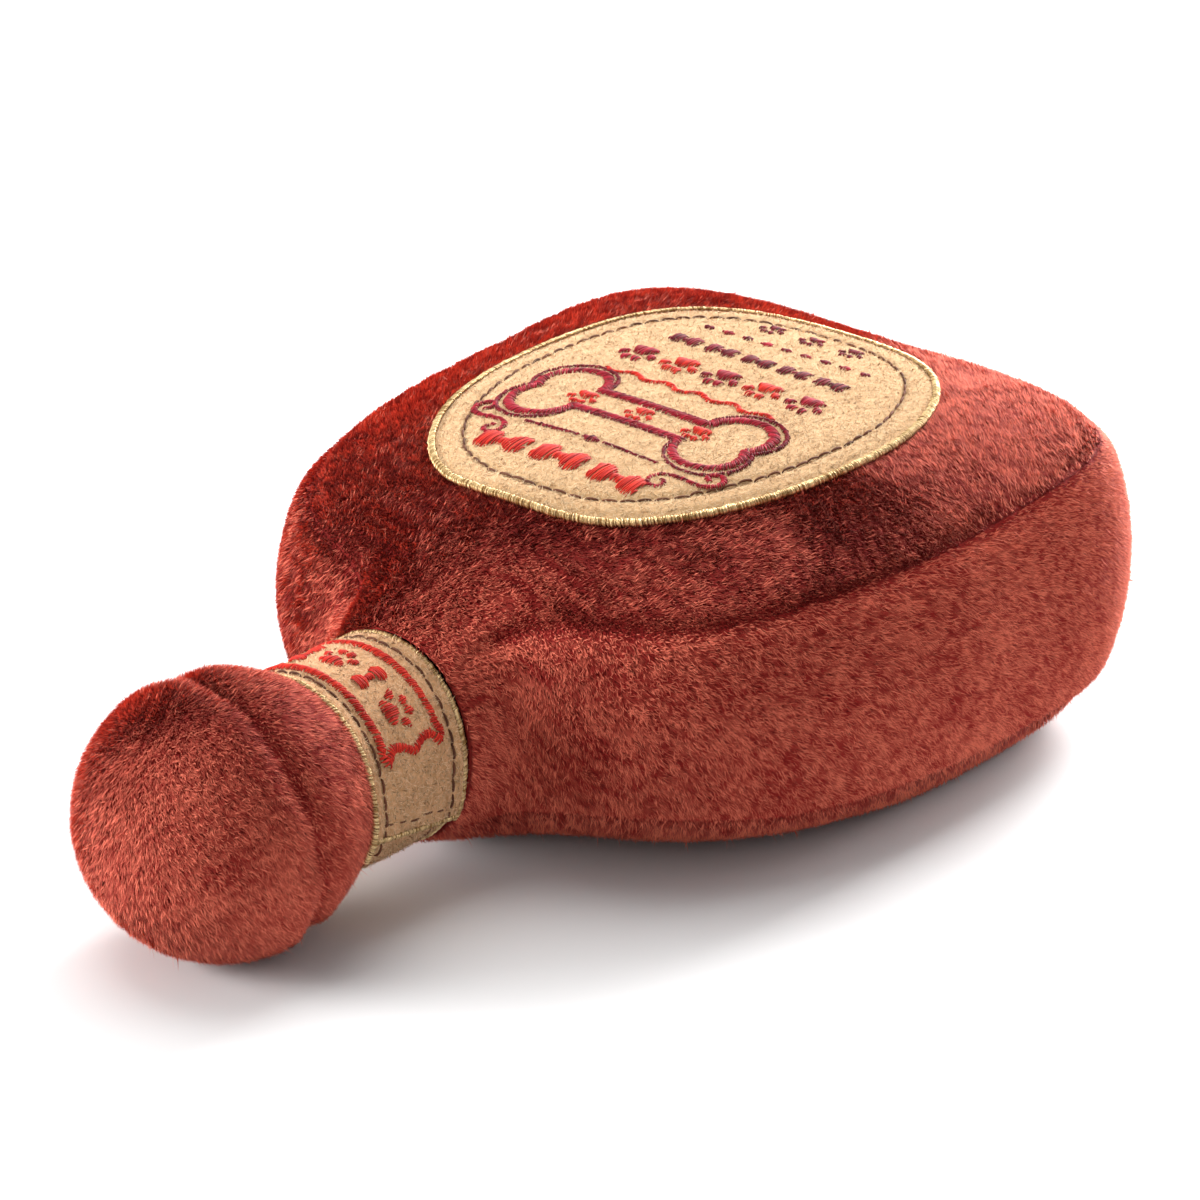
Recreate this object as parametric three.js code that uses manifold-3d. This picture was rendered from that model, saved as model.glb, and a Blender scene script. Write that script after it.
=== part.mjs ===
// A plush dog toy: a short, broad-shouldered bottle with a round stopper, lying on its back.
// Sewn pile-cloth panels, felt label and neck band, fibre filling, and a bellows squeaker inside.
// Millimetres, +Z up, neck towards -X. The origin is the middle of the base of the whole toy.
import * as THREE from 'three';
import { mergeVertices } from 'three/addons/utils/BufferGeometryUtils.js';
import Module from 'manifold-3d';

const wasm = await Module();
wasm.setup();

// Cloth and clearances
const pileCloth = 2.6;
const clearance = 0.3;
const seamGap = 0.4;
const overrun = 5;
const fillingClearance = 0.5;
const shoulderEase = 1.6;
const shoulderEaseShare = 0.3;

// Body outline in plan
const bodyLength = 139.6;
const bodyHalfWidth = 61.4;
const widestFromNeck = 88.3;
const baseSquareness = 4.5;
const shoulderFlareAngle = 5;
const shoulderStartPull = 25.3;
const shoulderEndPull = 88.3;

// Seam heights at even steps from the neck to the middle of the base, and the crown between them
const frontSeamHeights = [49.5, 48.7, 50.9, 52.3, 54.8, 56.5, 56.2];
const backSeamHeights = [10.5, 11.5, 9, 8, 8.5, 10, 10.6];
const crownHeight = 63;
const crownFromNeck = 85;
const crownFullness = 3.4;
const backSag = 16.3;
const backFullness = 2.5;
const gussetBulge = 5;
const gussetRoundness = 0.8;
const neckSeamAngle = 42;
const neckBlendShare = 0.15;
const neckRiseShare = 0.13;
const neckPull = 8;

// Neck and its felt band
const neckTubeRadius = 16.6;
const neckTubeWall = 1.4;
const neckLength = 23.3;
const neckTuck = 5;
const bandFelt = 1.5;
const bandEdgeWidth = 2.1;
const bandEdgeRise = 0.35;

// Stopper ball, whose seam is sewn slightly askew
const ballRadius = 25.1;
const ballFlat = 0.5;
const ballSeamOffset = 3.9;
const ballSeamYaw = -10;
const ballSeamPitch = 10.8;
const ballSeamDip = 0.8;
const ballSeamDipWidth = 4;

// Felt label on the front
const labelFelt = 1.3;
const labelFromNeck = 29;
const labelLength = 96;
const labelHalfWidthNeckEnd = 37.5;
const labelHalfWidthBaseEnd = 41.5;
const labelSquareness = 2.3;
const labelEdgeWidth = 2;
const labelEdgeRise = 0.4;

// Squeaker: a moulded bellows with a whistle plugged into its base
const squeakerRadius = 19;
const squeakerFromNeck = 85;
const squeakerFoot = 16;
const squeakerWall = 1.3;
const squeakerRimHeight = 3.2;
const bellowsHeight = 19;
const bellowsFolds = 3;
const bellowsFoldDepth = 4.2;
const bellowsWall = 1.5;
const squeakerCrown = 3;
const pocketClearance = 0.5;

// Whistle: a plug with a half-round seat, a foil reed on its flat and a wedge that holds the reed
const whistleRadius = 5;
const whistleHeight = 9;
const whistleWall = 1.1;
const whistleFlangeWidth = 1.8;
const whistleFlangeHeight = 1.2;
const socketWall = 1.2;
const socketHeight = 5;
const reedWidth = 3.4;
const reedLength = 7.6;
const reedThickness = 0.4;
const reedClampLength = 2.6;
const airChannelWidth = 2;
const airChannelDepth = 1.4;
const fineClearance = 0.1;

// Places that follow from these sizes
const axisHeight = ballRadius - ballFlat;
const openingRadius = neckTubeRadius + clearance;
const neckEdgeRadius = openingRadius + pileCloth;
const bandRadius = neckTubeRadius + clearance + bandFelt;
const ballCentreX = -neckLength - Math.sqrt(ballRadius ** 2 - openingRadius ** 2);
const ballSeamTurn = Math.acos(ballSeamOffset / ballRadius);
const seamAngle = THREE.MathUtils.degToRad(neckSeamAngle);
const mitreIn = pileCloth * Math.sin(seamAngle);
const mitreDown = pileCloth * Math.cos(seamAngle);
const squeakerHeight = 2 * squeakerRimHeight + 2 * clearance + bellowsHeight + squeakerCrown;

// Mesh fineness
const sideColumns = 21;
const arcColumns = 5;
const panelShares = [0.22, 0.42, 0.6, 0.75, 0.86, 0.94, 1];
const gussetRows = 8;
const fillingShares = [0.42, 0.75, 0.94];
const fillingRowShares = [0, 0.125, 0.3, 0.5];
const roundSides = 32;
const ballRows = 11;
const labelSides = 48;
const labelShares = [0.2, 0.4, 0.6, 0.8, 0.9, 1];
const outlineDivisions = 400;
const reedSeatSteps = 10;

const plush = new THREE.MeshStandardMaterial({ color: 0x8a352c, roughness: 0.95, metalness: 0 });
const felt = new THREE.MeshStandardMaterial({ color: 0xe6cda2, roughness: 0.95, metalness: 0 });
const goldThread = new THREE.MeshStandardMaterial({ color: 0xb89b57, roughness: 0.5, metalness: 0.3 });
const lining = new THREE.MeshStandardMaterial({ color: 0x7a4038, roughness: 0.95, metalness: 0 });
const filling = new THREE.MeshStandardMaterial({ color: 0xf2efe8, roughness: 1, metalness: 0 });
const softPlastic = new THREE.MeshStandardMaterial({ color: 0xf4f3ee, roughness: 0.45, metalness: 0 });
const whistlePlastic = new THREE.MeshStandardMaterial({ color: 0xd8dde2, roughness: 0.4, metalness: 0 });
const reedFoil = new THREE.MeshStandardMaterial({ color: 0xe8e6da, roughness: 0.35, metalness: 0 });

const toy = new THREE.Group();

function addPiece(name, geometry, material, parent = toy) {
  const mesh = new THREE.Mesh(geometry, material);
  mesh.name = name;
  parent.add(mesh);
  return mesh;
}

function smooth(share) {
  const t = THREE.MathUtils.clamp(share, 0, 1);
  return t * t * (3 - 2 * t);
}

// Booleans work on solids whose vertices are shared
function toSolid(geometry) {
  const plain = geometry.clone();
  plain.deleteAttribute('normal');
  plain.deleteAttribute('uv');
  const shared = mergeVertices(plain);
  return new wasm.Manifold(new wasm.Mesh({
    numProp: 3,
    vertProperties: Float32Array.from(shared.attributes.position.array),
    triVerts: Uint32Array.from(shared.index.array),
  }));
}

function toGeometry(solid) {
  const mesh = solid.getMesh();
  const geometry = new THREE.BufferGeometry();
  geometry.setAttribute('position', new THREE.BufferAttribute(mesh.vertProperties, 3));
  geometry.setIndex(new THREE.BufferAttribute(mesh.triVerts, 1));
  geometry.computeVertexNormals();
  return geometry;
}

function subtract(geometry, ...cutters) {
  let solid = toSolid(geometry);
  for (const cutter of cutters) solid = solid.subtract(toSolid(cutter));
  return toGeometry(solid);
}

// A closed skin over rings of equal length. Each end closes on a pole or is left as a flat fan.
function loft(rings, firstPole, lastPole) {
  const count = rings[0].length;
  const points = [firstPole, ...rings.flat(), lastPole];
  const index = [];
  for (let i = 0; i < count; i++) {
    const j = (i + 1) % count;
    index.push(0, 1 + i, 1 + j);
    for (let r = 0; r < rings.length - 1; r++) {
      const a = 1 + r * count;
      const b = a + count;
      index.push(a + i, b + i, b + j, a + i, b + j, a + j);
    }
    const end = 1 + (rings.length - 1) * count;
    index.push(end + i, points.length - 1, end + j);
  }
  return closedGeometry(points, index);
}

// A closed skin over rings that run round a loop, as on a hoop or a rim
function hoop(sections) {
  const count = sections[0].length;
  const points = sections.flat();
  const index = [];
  for (let s = 0; s < sections.length; s++) {
    const a = s * count;
    const b = ((s + 1) % sections.length) * count;
    for (let i = 0; i < count; i++) {
      const j = (i + 1) % count;
      index.push(a + i, b + i, b + j, a + i, b + j, a + j);
    }
  }
  return closedGeometry(points, index);
}

// A closed skin over sections in a row, with flat ends
function strip(sections) {
  const count = sections[0].length;
  const points = sections.flat();
  const last = (sections.length - 1) * count;
  const index = [];
  for (let s = 0; s < sections.length - 1; s++) {
    const a = s * count;
    const b = a + count;
    for (let i = 0; i < count; i++) {
      const j = (i + 1) % count;
      index.push(a + i, b + i, b + j, a + i, b + j, a + j);
    }
  }
  // The ends are ladders between the outer and the inner half of the section
  for (let i = 0; i < count / 2 - 1; i++) {
    const a = i;
    const b = i + 1;
    const c = count - 2 - i;
    const d = count - 1 - i;
    index.push(a, b, c, a, c, d);
    index.push(last + a, last + c, last + b, last + a, last + d, last + c);
  }
  return closedGeometry(points, index);
}

function closedGeometry(points, index) {
  const geometry = new THREE.BufferGeometry().setFromPoints(points);
  geometry.setIndex(index);
  geometry.computeVertexNormals();
  return facingOut(geometry);
}

// Turns the faces round where they enclose a negative volume
function facingOut(geometry) {
  const place = geometry.attributes.position;
  const index = geometry.index.array;
  const corners = [new THREE.Vector3(), new THREE.Vector3(), new THREE.Vector3()];
  let volume = 0;
  for (let i = 0; i < index.length; i += 3) {
    corners.forEach((corner, k) => corner.fromBufferAttribute(place, index[i + k]));
    volume += corners[0].dot(corners[1].cross(corners[2]));
  }
  if (volume < 0) {
    for (let i = 0; i < index.length; i += 3) {
      [index[i + 1], index[i + 2]] = [index[i + 2], index[i + 1]];
    }
  }
  return geometry;
}

// Half of the body's outline: a flared shoulder from the neck, then a squared-off half ellipse
class BaseQuadrant extends THREE.Curve {
  getPoint(t, target = new THREE.Vector2()) {
    const reach = superellipseReach(t * Math.PI / 2, baseSquareness);
    return target.set(
      widestFromNeck + (bodyLength - widestFromNeck) * Math.sin(t * Math.PI / 2) * reach,
      bodyHalfWidth * Math.cos(t * Math.PI / 2) * reach,
    );
  }
}

// How far a squared-off circle of radius one reaches in a direction
function superellipseReach(angle, squareness) {
  const across = Math.abs(Math.cos(angle)) ** squareness;
  const up = Math.abs(Math.sin(angle)) ** squareness;
  return (across + up) ** (-1 / squareness);
}

function halfOutline() {
  const flare = THREE.MathUtils.degToRad(shoulderFlareAngle);
  const neckHalfWidth = neckEdgeRadius * Math.sin(seamAngle);
  const shoulder = new THREE.CubicBezierCurve(
    new THREE.Vector2(0, neckHalfWidth),
    new THREE.Vector2(shoulderStartPull * Math.cos(flare), neckHalfWidth + shoulderStartPull * Math.sin(flare)),
    new THREE.Vector2(widestFromNeck - shoulderEndPull, bodyHalfWidth),
    new THREE.Vector2(widestFromNeck, bodyHalfWidth),
  );
  const path = new THREE.CurvePath();
  path.add(shoulder);
  path.add(new BaseQuadrant());
  path.arcLengthDivisions = outlineDivisions;
  return path.getSpacedPoints(sideColumns - 1);
}

// A seam's height where the neck doesn't reach: smooth through heights at even steps
function tautHeight(share, heights) {
  return new THREE.SplineCurve(heights.map((height) => new THREE.Vector2(0, height))).getPoint(share).y;
}

// A seam's height as it leaves the neck and rises, or falls, to its own line
function seamHeight(share, neckHeight, heights) {
  const rise = 1 - (1 - Math.min(share / neckRiseShare, 1)) ** 2;
  return THREE.MathUtils.lerp(neckHeight, tautHeight(share, heights), rise);
}

// The seam line all round: near side from the neck to the base, then back along the far side
function seamColumns() {
  const half = halfOutline();
  const columns = half.map((point, i) => {
    const before = half[Math.max(i - 1, 0)];
    const after = i + 1 < half.length ? half[i + 1] : new THREE.Vector2(point.x, -half[i - 1].y);
    const along = after.clone().sub(before).normalize();
    const share = i / (half.length - 1);
    const free = smooth(share / neckBlendShare);
    const normal = new THREE.Vector2(-along.y * free, along.x * free + 1 - free).normalize();
    const drop = neckEdgeRadius * Math.cos(seamAngle);
    return {
      x: point.x,
      y: point.y,
      normal,
      free,
      ease: shoulderEase * (1 - smooth(share / shoulderEaseShare)),
      frontSeam: seamHeight(share, axisHeight + drop, frontSeamHeights),
      frontTaut: tautHeight(share, frontSeamHeights),
      backSeam: seamHeight(share, axisHeight - drop, backSeamHeights),
    };
  });
  const mirrored = columns.map((column) => ({
    ...column,
    y: -column.y,
    normal: new THREE.Vector2(column.normal.x, -column.normal.y),
  }));
  return [...mirrored, ...columns.slice(0, -1).reverse()];
}

const columns = seamColumns();

// A point of the gusset at a share of its height, moved outwards by a depth
function gussetPoint(column, share, outwards) {
  const angle = seamAngle + (Math.PI - 2 * seamAngle) * share;
  const roundOut = neckEdgeRadius * (Math.sin(angle) - Math.sin(seamAngle));
  const roundShare = (1 - Math.cos(angle) / Math.cos(seamAngle)) / 2;
  const bodyOut = gussetBulge * Math.sin(Math.PI * share) ** gussetRoundness;
  const out = THREE.MathUtils.lerp(roundOut, bodyOut, column.free) + outwards;
  return new THREE.Vector3(
    column.x + column.normal.x * out,
    column.y + column.normal.y * out,
    THREE.MathUtils.lerp(column.frontSeam, column.backSeam, THREE.MathUtils.lerp(roundShare, share, column.free)),
  );
}

// The closed edge of a panel: the seam, then an arc over or under the neck. The depth is measured
// from the outer face into the cloth, along the mitre of the seam.
function panelEdge(side, depth) {
  const inShare = depth / pileCloth;
  const edge = columns.map((column) => new THREE.Vector3(
    column.x - column.normal.x * mitreIn * inShare,
    column.y - column.normal.y * mitreIn * inShare,
    side > 0 ? column.frontSeam - mitreDown * inShare : column.backSeam + mitreDown * inShare,
  ));
  const radius = neckEdgeRadius - depth;
  for (let i = 1; i <= arcColumns; i++) {
    const angle = seamAngle * (1 - 2 * i / (arcColumns + 1));
    edge.push(new THREE.Vector3(0, radius * Math.sin(angle), axisHeight + side * radius * Math.cos(angle)));
  }
  return edge;
}

const panelMiddle = new THREE.Vector3(crownFromNeck, 0, 0);

// What the front's edge would be where the neck didn't draw it down, point by point
const tautEdge = [
  ...columns.map((column) => column.frontTaut),
  ...Array.from({ length: arcColumns }, () => frontSeamHeights[0]),
];

// Height of a panel's outer face over a point at a share of the way from its middle to its edge.
// The neck draws the front down only near the edge.
function panelHeight(side, edgeHeight, taut, share) {
  if (side < 0) return Math.max(edgeHeight - (edgeHeight + backSag) * (1 - share ** backFullness), 0);
  const drawn = THREE.MathUtils.lerp(taut, edgeHeight, share ** neckPull);
  return drawn + (crownHeight - drawn) * (1 - share ** crownFullness);
}

// One ring of a panel's face, at a depth below the outer face
function panelRing(side, share, depth) {
  const outerEdge = panelEdge(side, 0);
  return panelEdge(side, depth).map((point, i) => {
    const edgeDrop = side * (outerEdge[i].z - point.z);
    const sink = THREE.MathUtils.lerp(depth, edgeDrop, share ** crownFullness);
    return new THREE.Vector3(
      THREE.MathUtils.lerp(panelMiddle.x, point.x, share),
      THREE.MathUtils.lerp(panelMiddle.y, point.y, share),
      panelHeight(side, outerEdge[i].z, tautEdge[i], share) - side * sink,
    );
  });
}

function panelPole(side, depth) {
  const height = side > 0 ? crownHeight : 0;
  return new THREE.Vector3(panelMiddle.x, panelMiddle.y, height - side * depth);
}

function panelGeometry(side) {
  const outer = panelShares.map((share) => panelRing(side, share, 0));
  const inner = panelShares.map((share) => panelRing(side, share, pileCloth)).reverse();
  return loft([...outer, ...inner], panelPole(side, 0), panelPole(side, pileCloth));
}

// A point of the gusset's lining, or of a surface a little inside it
function gussetLining(column, share, inside) {
  const towardsBack = 2 * share - 1;
  const depth = THREE.MathUtils.lerp(mitreIn, pileCloth, Math.sin(Math.PI * share)) + inside;
  const point = gussetPoint(column, share, -depth);
  point.z += towardsBack * seamGap + towardsBack ** 3 * mitreDown;
  return point;
}

function gussetGeometry() {
  return strip(columns.map((column) => {
    const outer = [];
    const inner = [];
    for (let row = 0; row <= gussetRows; row++) {
      const share = row / gussetRows;
      const point = gussetPoint(column, share, 0);
      point.z += (2 * share - 1) * seamGap;
      outer.push(point);
      inner.push(gussetLining(column, share, 0));
    }
    return [...outer, ...inner.reverse()];
  }));
}

// A filling half reaches from a panel's lining, down the gusset's, to the parting between the halves
function fillingGeometry(side) {
  const depth = pileCloth + fillingClearance;
  const rings = fillingShares.map((share) => panelRing(side, share, depth));
  for (const row of fillingRowShares) {
    const share = side > 0 ? row : 1 - row;
    const ring = columns.map((column) => gussetLining(column, share, fillingClearance + column.ease));
    const [first, last] = [ring[0], ring[ring.length - 1]];
    for (let i = 1; i <= arcColumns; i++) ring.push(last.clone().lerp(first, i / (arcColumns + 1)));
    rings.push(ring);
  }
  const parting = rings[rings.length - 1];
  for (const point of parting) point.z += side * clearance / 2;
  const middle = new THREE.Vector3(panelMiddle.x, 0, parting[sideColumns - 1].z);
  const filled = loft(rings, panelPole(side, depth), middle);
  return subtract(filled, squeakerPocket(), neckRoom());
}

function squeakerPocket() {
  const height = squeakerHeight + whistleFlangeHeight + clearance;
  const radius = squeakerRadius + pocketClearance;
  const pocket = new THREE.CylinderGeometry(radius, radius, height + 2 * pocketClearance, roundSides);
  pocket.rotateX(Math.PI / 2);
  pocket.translate(squeakerFromNeck, 0, squeakerFoot + squeakerHeight - height / 2);
  return pocket;
}

function neckRoom() {
  const radius = neckEdgeRadius + overrun;
  const room = new THREE.CylinderGeometry(radius, radius, neckTuck + clearance + overrun, roundSides);
  room.rotateZ(-Math.PI / 2);
  room.translate((neckTuck + clearance - overrun) / 2, 0, axisHeight);
  return room;
}

// A turned piece on the neck's axis. Profile points are a radius and a distance from the body's edge.
function turnedOnNeck(profile) {
  const geometry = new THREE.LatheGeometry(profile.map(([r, x]) => new THREE.Vector2(r, x)), roundSides);
  geometry.rotateZ(-Math.PI / 2);
  geometry.translate(0, 0, axisHeight);
  return facingOut(geometry);
}

function tubeProfile(inner, outer, from, to) {
  return [[inner, from], [outer, from], [outer, to], [inner, to], [inner, from]];
}

// The satin-sewn edge of the band is a low rounded rim round the felt's raw edge
function bandEdgeProfile(from) {
  const top = bandRadius + bandEdgeRise;
  const to = from + bandEdgeWidth;
  const corner = bandEdgeWidth / 4;
  return [
    [openingRadius, from],
    [bandRadius, from],
    [top, from + corner],
    [top, to - corner],
    [bandRadius, to],
    [openingRadius, to],
    [openingRadius, from],
  ];
}

// Outer face of the ball: a sphere that dips where its two pieces are sewn together
function ballFace(angle, depth) {
  const away = (angle - ballSeamTurn) * ballRadius / ballSeamDipWidth;
  const radius = ballRadius - ballSeamDip * Math.exp(-away * away) - depth;
  return [radius * Math.sin(angle), radius * Math.cos(angle)];
}

function ballPiece(towardsNeck) {
  const halfGap = seamGap / 2 / ballRadius;
  const from = towardsNeck ? ballSeamTurn - halfGap : ballSeamTurn + halfGap;
  const to = towardsNeck ? 0 : Math.PI;
  const outer = [];
  for (let row = 0; row <= ballRows; row++) {
    outer.push(ballFace(THREE.MathUtils.lerp(to, from, row / ballRows), 0));
  }
  const inner = [];
  for (let row = ballRows; row >= 0; row--) {
    inner.push(ballFace(THREE.MathUtils.lerp(to, from, row / ballRows), pileCloth));
  }
  const profile = [...outer, ...inner].map(([r, x]) => new THREE.Vector2(Math.max(r, 0), x));
  return inBall(facingOut(new THREE.LatheGeometry(profile, roundSides)));
}

// Turns a piece made about +Y to the ball's own axis and moves it to the ball's centre
function inBall(geometry) {
  geometry.rotateZ(-Math.PI / 2);
  geometry.rotateY(THREE.MathUtils.degToRad(-ballSeamPitch));
  geometry.rotateZ(THREE.MathUtils.degToRad(ballSeamYaw));
  geometry.translate(ballCentreX, 0, axisHeight);
  return geometry;
}

function floorBlock() {
  const size = 2 * ballRadius + 2 * overrun;
  const block = new THREE.BoxGeometry(size, size, ballRadius);
  block.translate(ballCentreX, 0, -ballRadius / 2);
  return block;
}

function neckBore(radius, from, to) {
  const bore = new THREE.CylinderGeometry(radius, radius, to - from, roundSides);
  bore.rotateZ(-Math.PI / 2);
  bore.translate((from + to) / 2, 0, axisHeight);
  return bore;
}

function ballFilling() {
  const radius = ballRadius - ballSeamDip - pileCloth - clearance;
  const fill = new THREE.SphereGeometry(radius, roundSides, ballRows + 2);
  fill.translate(ballCentreX, 0, axisHeight);
  return subtract(facingOut(fill), neckBore(openingRadius, -neckLength - neckTuck - clearance, 0));
}

const frontEdge = panelEdge(1, 0);

// Height of the front's outer face over a place, from where a ray from the panel's middle through
// that place crosses the panel's edge
function frontFaceHeight(x, y) {
  const dx = x - panelMiddle.x;
  const dy = y - panelMiddle.y;
  if (Math.hypot(dx, dy) === 0) return crownHeight;
  for (let i = 0; i < frontEdge.length; i++) {
    const a = frontEdge[i];
    const b = frontEdge[(i + 1) % frontEdge.length];
    const [ax, ay] = [a.x - panelMiddle.x, a.y - panelMiddle.y];
    const [ex, ey] = [b.x - a.x, b.y - a.y];
    const cross = dx * ey - dy * ex;
    const reach = (ax * ey - ay * ex) / cross;
    const along = (ax * dy - ay * dx) / cross;
    if (reach > 0 && along >= 0 && along <= 1) {
      const taut = THREE.MathUtils.lerp(tautEdge[i], tautEdge[(i + 1) % tautEdge.length], along);
      return panelHeight(1, THREE.MathUtils.lerp(a.z, b.z, along), taut, Math.min(1 / reach, 1));
    }
  }
  return crownHeight;
}

// The label's outline in plan, moved inwards from its sewn edge
function labelPlan(angle, inset) {
  const at = (turn) => {
    const reach = superellipseReach(turn, labelSquareness);
    const along = Math.cos(turn) * reach;
    const halfWidth = THREE.MathUtils.lerp(labelHalfWidthNeckEnd, labelHalfWidthBaseEnd, (along + 1) / 2);
    return new THREE.Vector2(
      labelFromNeck + labelLength / 2 * (1 + along),
      halfWidth * Math.sin(turn) * reach,
    );
  };
  const step = Math.PI / labelSides;
  const along = at(angle + step).sub(at(angle - step)).normalize();
  return at(angle).add(new THREE.Vector2(-along.y, along.x).multiplyScalar(inset));
}

function onFront(plan, lift) {
  return new THREE.Vector3(plan.x, plan.y, frontFaceHeight(plan.x, plan.y) + lift);
}

function labelAngles() {
  return Array.from({ length: labelSides }, (_, i) => 2 * Math.PI * i / labelSides);
}

function labelGeometry() {
  const middle = new THREE.Vector2(labelFromNeck + labelLength / 2, 0);
  const inset = labelEdgeWidth + clearance;
  const ring = (share, lift) => labelAngles().map(
    (angle) => onFront(middle.clone().lerp(labelPlan(angle, inset), share), lift),
  );
  const top = labelShares.map((share) => ring(share, clearance + labelFelt));
  const under = labelShares.map((share) => ring(share, clearance)).reverse();
  return loft([...top, ...under], onFront(middle, clearance + labelFelt), onFront(middle, clearance));
}

// The label's satin-sewn edge is a low rounded rim that follows the crown of the front
function labelEdgeGeometry() {
  const high = clearance + labelFelt + labelEdgeRise;
  const section = [
    [0, clearance],
    [0, clearance + labelFelt],
    [labelEdgeWidth / 4, high],
    [labelEdgeWidth * 3 / 4, high],
    [labelEdgeWidth, clearance + labelFelt],
    [labelEdgeWidth, clearance],
  ];
  return hoop(labelAngles().map(
    (angle) => section.map(([inset, lift]) => onFront(labelPlan(angle, inset), lift)),
  ));
}

// A turned piece on the squeaker's axis. Profile points are a radius and a height above its foot.
function turnedSqueaker(profile, sides = roundSides) {
  const geometry = new THREE.LatheGeometry(profile.map(([r, z]) => new THREE.Vector2(r, z)), sides);
  geometry.rotateX(Math.PI / 2);
  return facingOut(geometry);
}

const socketRadius = whistleRadius + fineClearance;

// Lower cup with a collar in its floor that grips the whistle
function squeakerBase() {
  const collar = socketRadius + socketWall;
  return turnedSqueaker([
    [socketRadius, 0],
    [squeakerRadius, 0],
    [squeakerRadius, squeakerRimHeight],
    [squeakerRadius - squeakerWall, squeakerRimHeight],
    [squeakerRadius - squeakerWall, squeakerWall],
    [collar, squeakerWall],
    [collar, socketHeight],
    [socketRadius, socketHeight],
    [socketRadius, 0],
  ]);
}

// Folded wall between the two cups
function squeakerBellows() {
  const from = squeakerRimHeight + clearance;
  const outer = [];
  for (let i = 0; i <= 2 * bellowsFolds; i++) {
    const radius = i % 2 ? squeakerRadius : squeakerRadius - bellowsFoldDepth;
    outer.push([i === 0 || i === 2 * bellowsFolds ? squeakerRadius - bellowsFoldDepth / 2 : radius,
      from + bellowsHeight * i / (2 * bellowsFolds)]);
  }
  const inner = outer.map(([radius, height]) => [radius - bellowsWall, height]).reverse();
  return turnedSqueaker([...outer, ...inner, outer[0]]);
}

function squeakerTop() {
  const from = squeakerRimHeight + 2 * clearance + bellowsHeight;
  const shoulder = from + squeakerRimHeight;
  return turnedSqueaker([
    [0, shoulder + squeakerCrown],
    [squeakerRadius / 2, shoulder + squeakerCrown * 3 / 4],
    [squeakerRadius - squeakerWall, shoulder + squeakerWall / 2],
    [squeakerRadius, shoulder],
    [squeakerRadius, from],
    [squeakerRadius - squeakerWall, from],
    [squeakerRadius - squeakerWall, shoulder - squeakerWall],
    [squeakerRadius / 2, shoulder + squeakerCrown * 3 / 4 - squeakerWall],
    [0, shoulder + squeakerCrown - squeakerWall],
  ]);
}

function whistleHousing() {
  const bore = whistleRadius - whistleWall;
  const flange = whistleRadius + whistleFlangeWidth;
  return turnedSqueaker([
    [bore, -fineClearance - whistleFlangeHeight],
    [flange, -fineClearance - whistleFlangeHeight],
    [flange, -fineClearance],
    [whistleRadius, -fineClearance],
    [whistleRadius, whistleHeight],
    [bore, whistleHeight],
    [bore, -fineClearance - whistleFlangeHeight],
  ]);
}

// A half-round block in the whistle's bore, with its flat towards the reed
function halfRound(length, channel) {
  const radius = whistleRadius - whistleWall - fineClearance;
  const flat = reedThickness / 2 + fineClearance;
  const start = Math.asin(flat / radius);
  const shape = new THREE.Shape();
  shape.moveTo(radius * Math.cos(start), flat);
  shape.absarc(0, 0, radius, start, Math.PI - start, false);
  if (channel) {
    shape.lineTo(-airChannelWidth / 2, flat);
    shape.lineTo(-airChannelWidth / 2, flat + airChannelDepth);
    shape.lineTo(airChannelWidth / 2, flat + airChannelDepth);
    shape.lineTo(airChannelWidth / 2, flat);
  }
  shape.closePath();
  return new THREE.ExtrudeGeometry(shape, { depth: length, bevelEnabled: false, curveSegments: reedSeatSteps });
}

toy.name = 'squeaky_toy';
addPiece('front_panel', panelGeometry(1), plush);
addPiece('back_panel', panelGeometry(-1), plush);
addPiece('side_gusset', gussetGeometry(), plush);
addPiece('body_filling_front', fillingGeometry(1), filling);
addPiece('body_filling_back', fillingGeometry(-1), filling);

const tubeFrom = -neckLength - neckTuck;
const fillRadius = neckTubeRadius - neckTubeWall - clearance;
const bandFrom = -neckLength + clearance;
addPiece('neck_tube', turnedOnNeck(tubeProfile(
  neckTubeRadius - neckTubeWall, neckTubeRadius, tubeFrom, neckTuck)), lining);
addPiece('neck_filling', neckBore(fillRadius, tubeFrom, neckTuck), filling);
addPiece('neck_band', turnedOnNeck(tubeProfile(
  openingRadius, bandRadius,
  bandFrom + bandEdgeWidth + fineClearance, -clearance - bandEdgeWidth - fineClearance)), felt);
addPiece('neck_band_edge_ball', turnedOnNeck(bandEdgeProfile(bandFrom)), goldThread);
addPiece('neck_band_edge_body', turnedOnNeck(bandEdgeProfile(-clearance - bandEdgeWidth)), goldThread);

addPiece('ball_front', subtract(ballPiece(false), floorBlock()), plush);
addPiece('ball_back', subtract(
  ballPiece(true), floorBlock(), neckBore(openingRadius, ballCentreX, 0)), plush);
addPiece('ball_filling', ballFilling(), filling);

addPiece('label_patch', labelGeometry(), felt);
addPiece('label_edge', labelEdgeGeometry(), goldThread);

const squeaker = new THREE.Group();
squeaker.position.set(squeakerFromNeck, 0, squeakerFoot);
toy.add(squeaker);
addPiece('squeaker_base', squeakerBase(), softPlastic, squeaker);
addPiece('squeaker_bellows', squeakerBellows(), softPlastic, squeaker);
addPiece('squeaker_top', squeakerTop(), softPlastic, squeaker);

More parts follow.
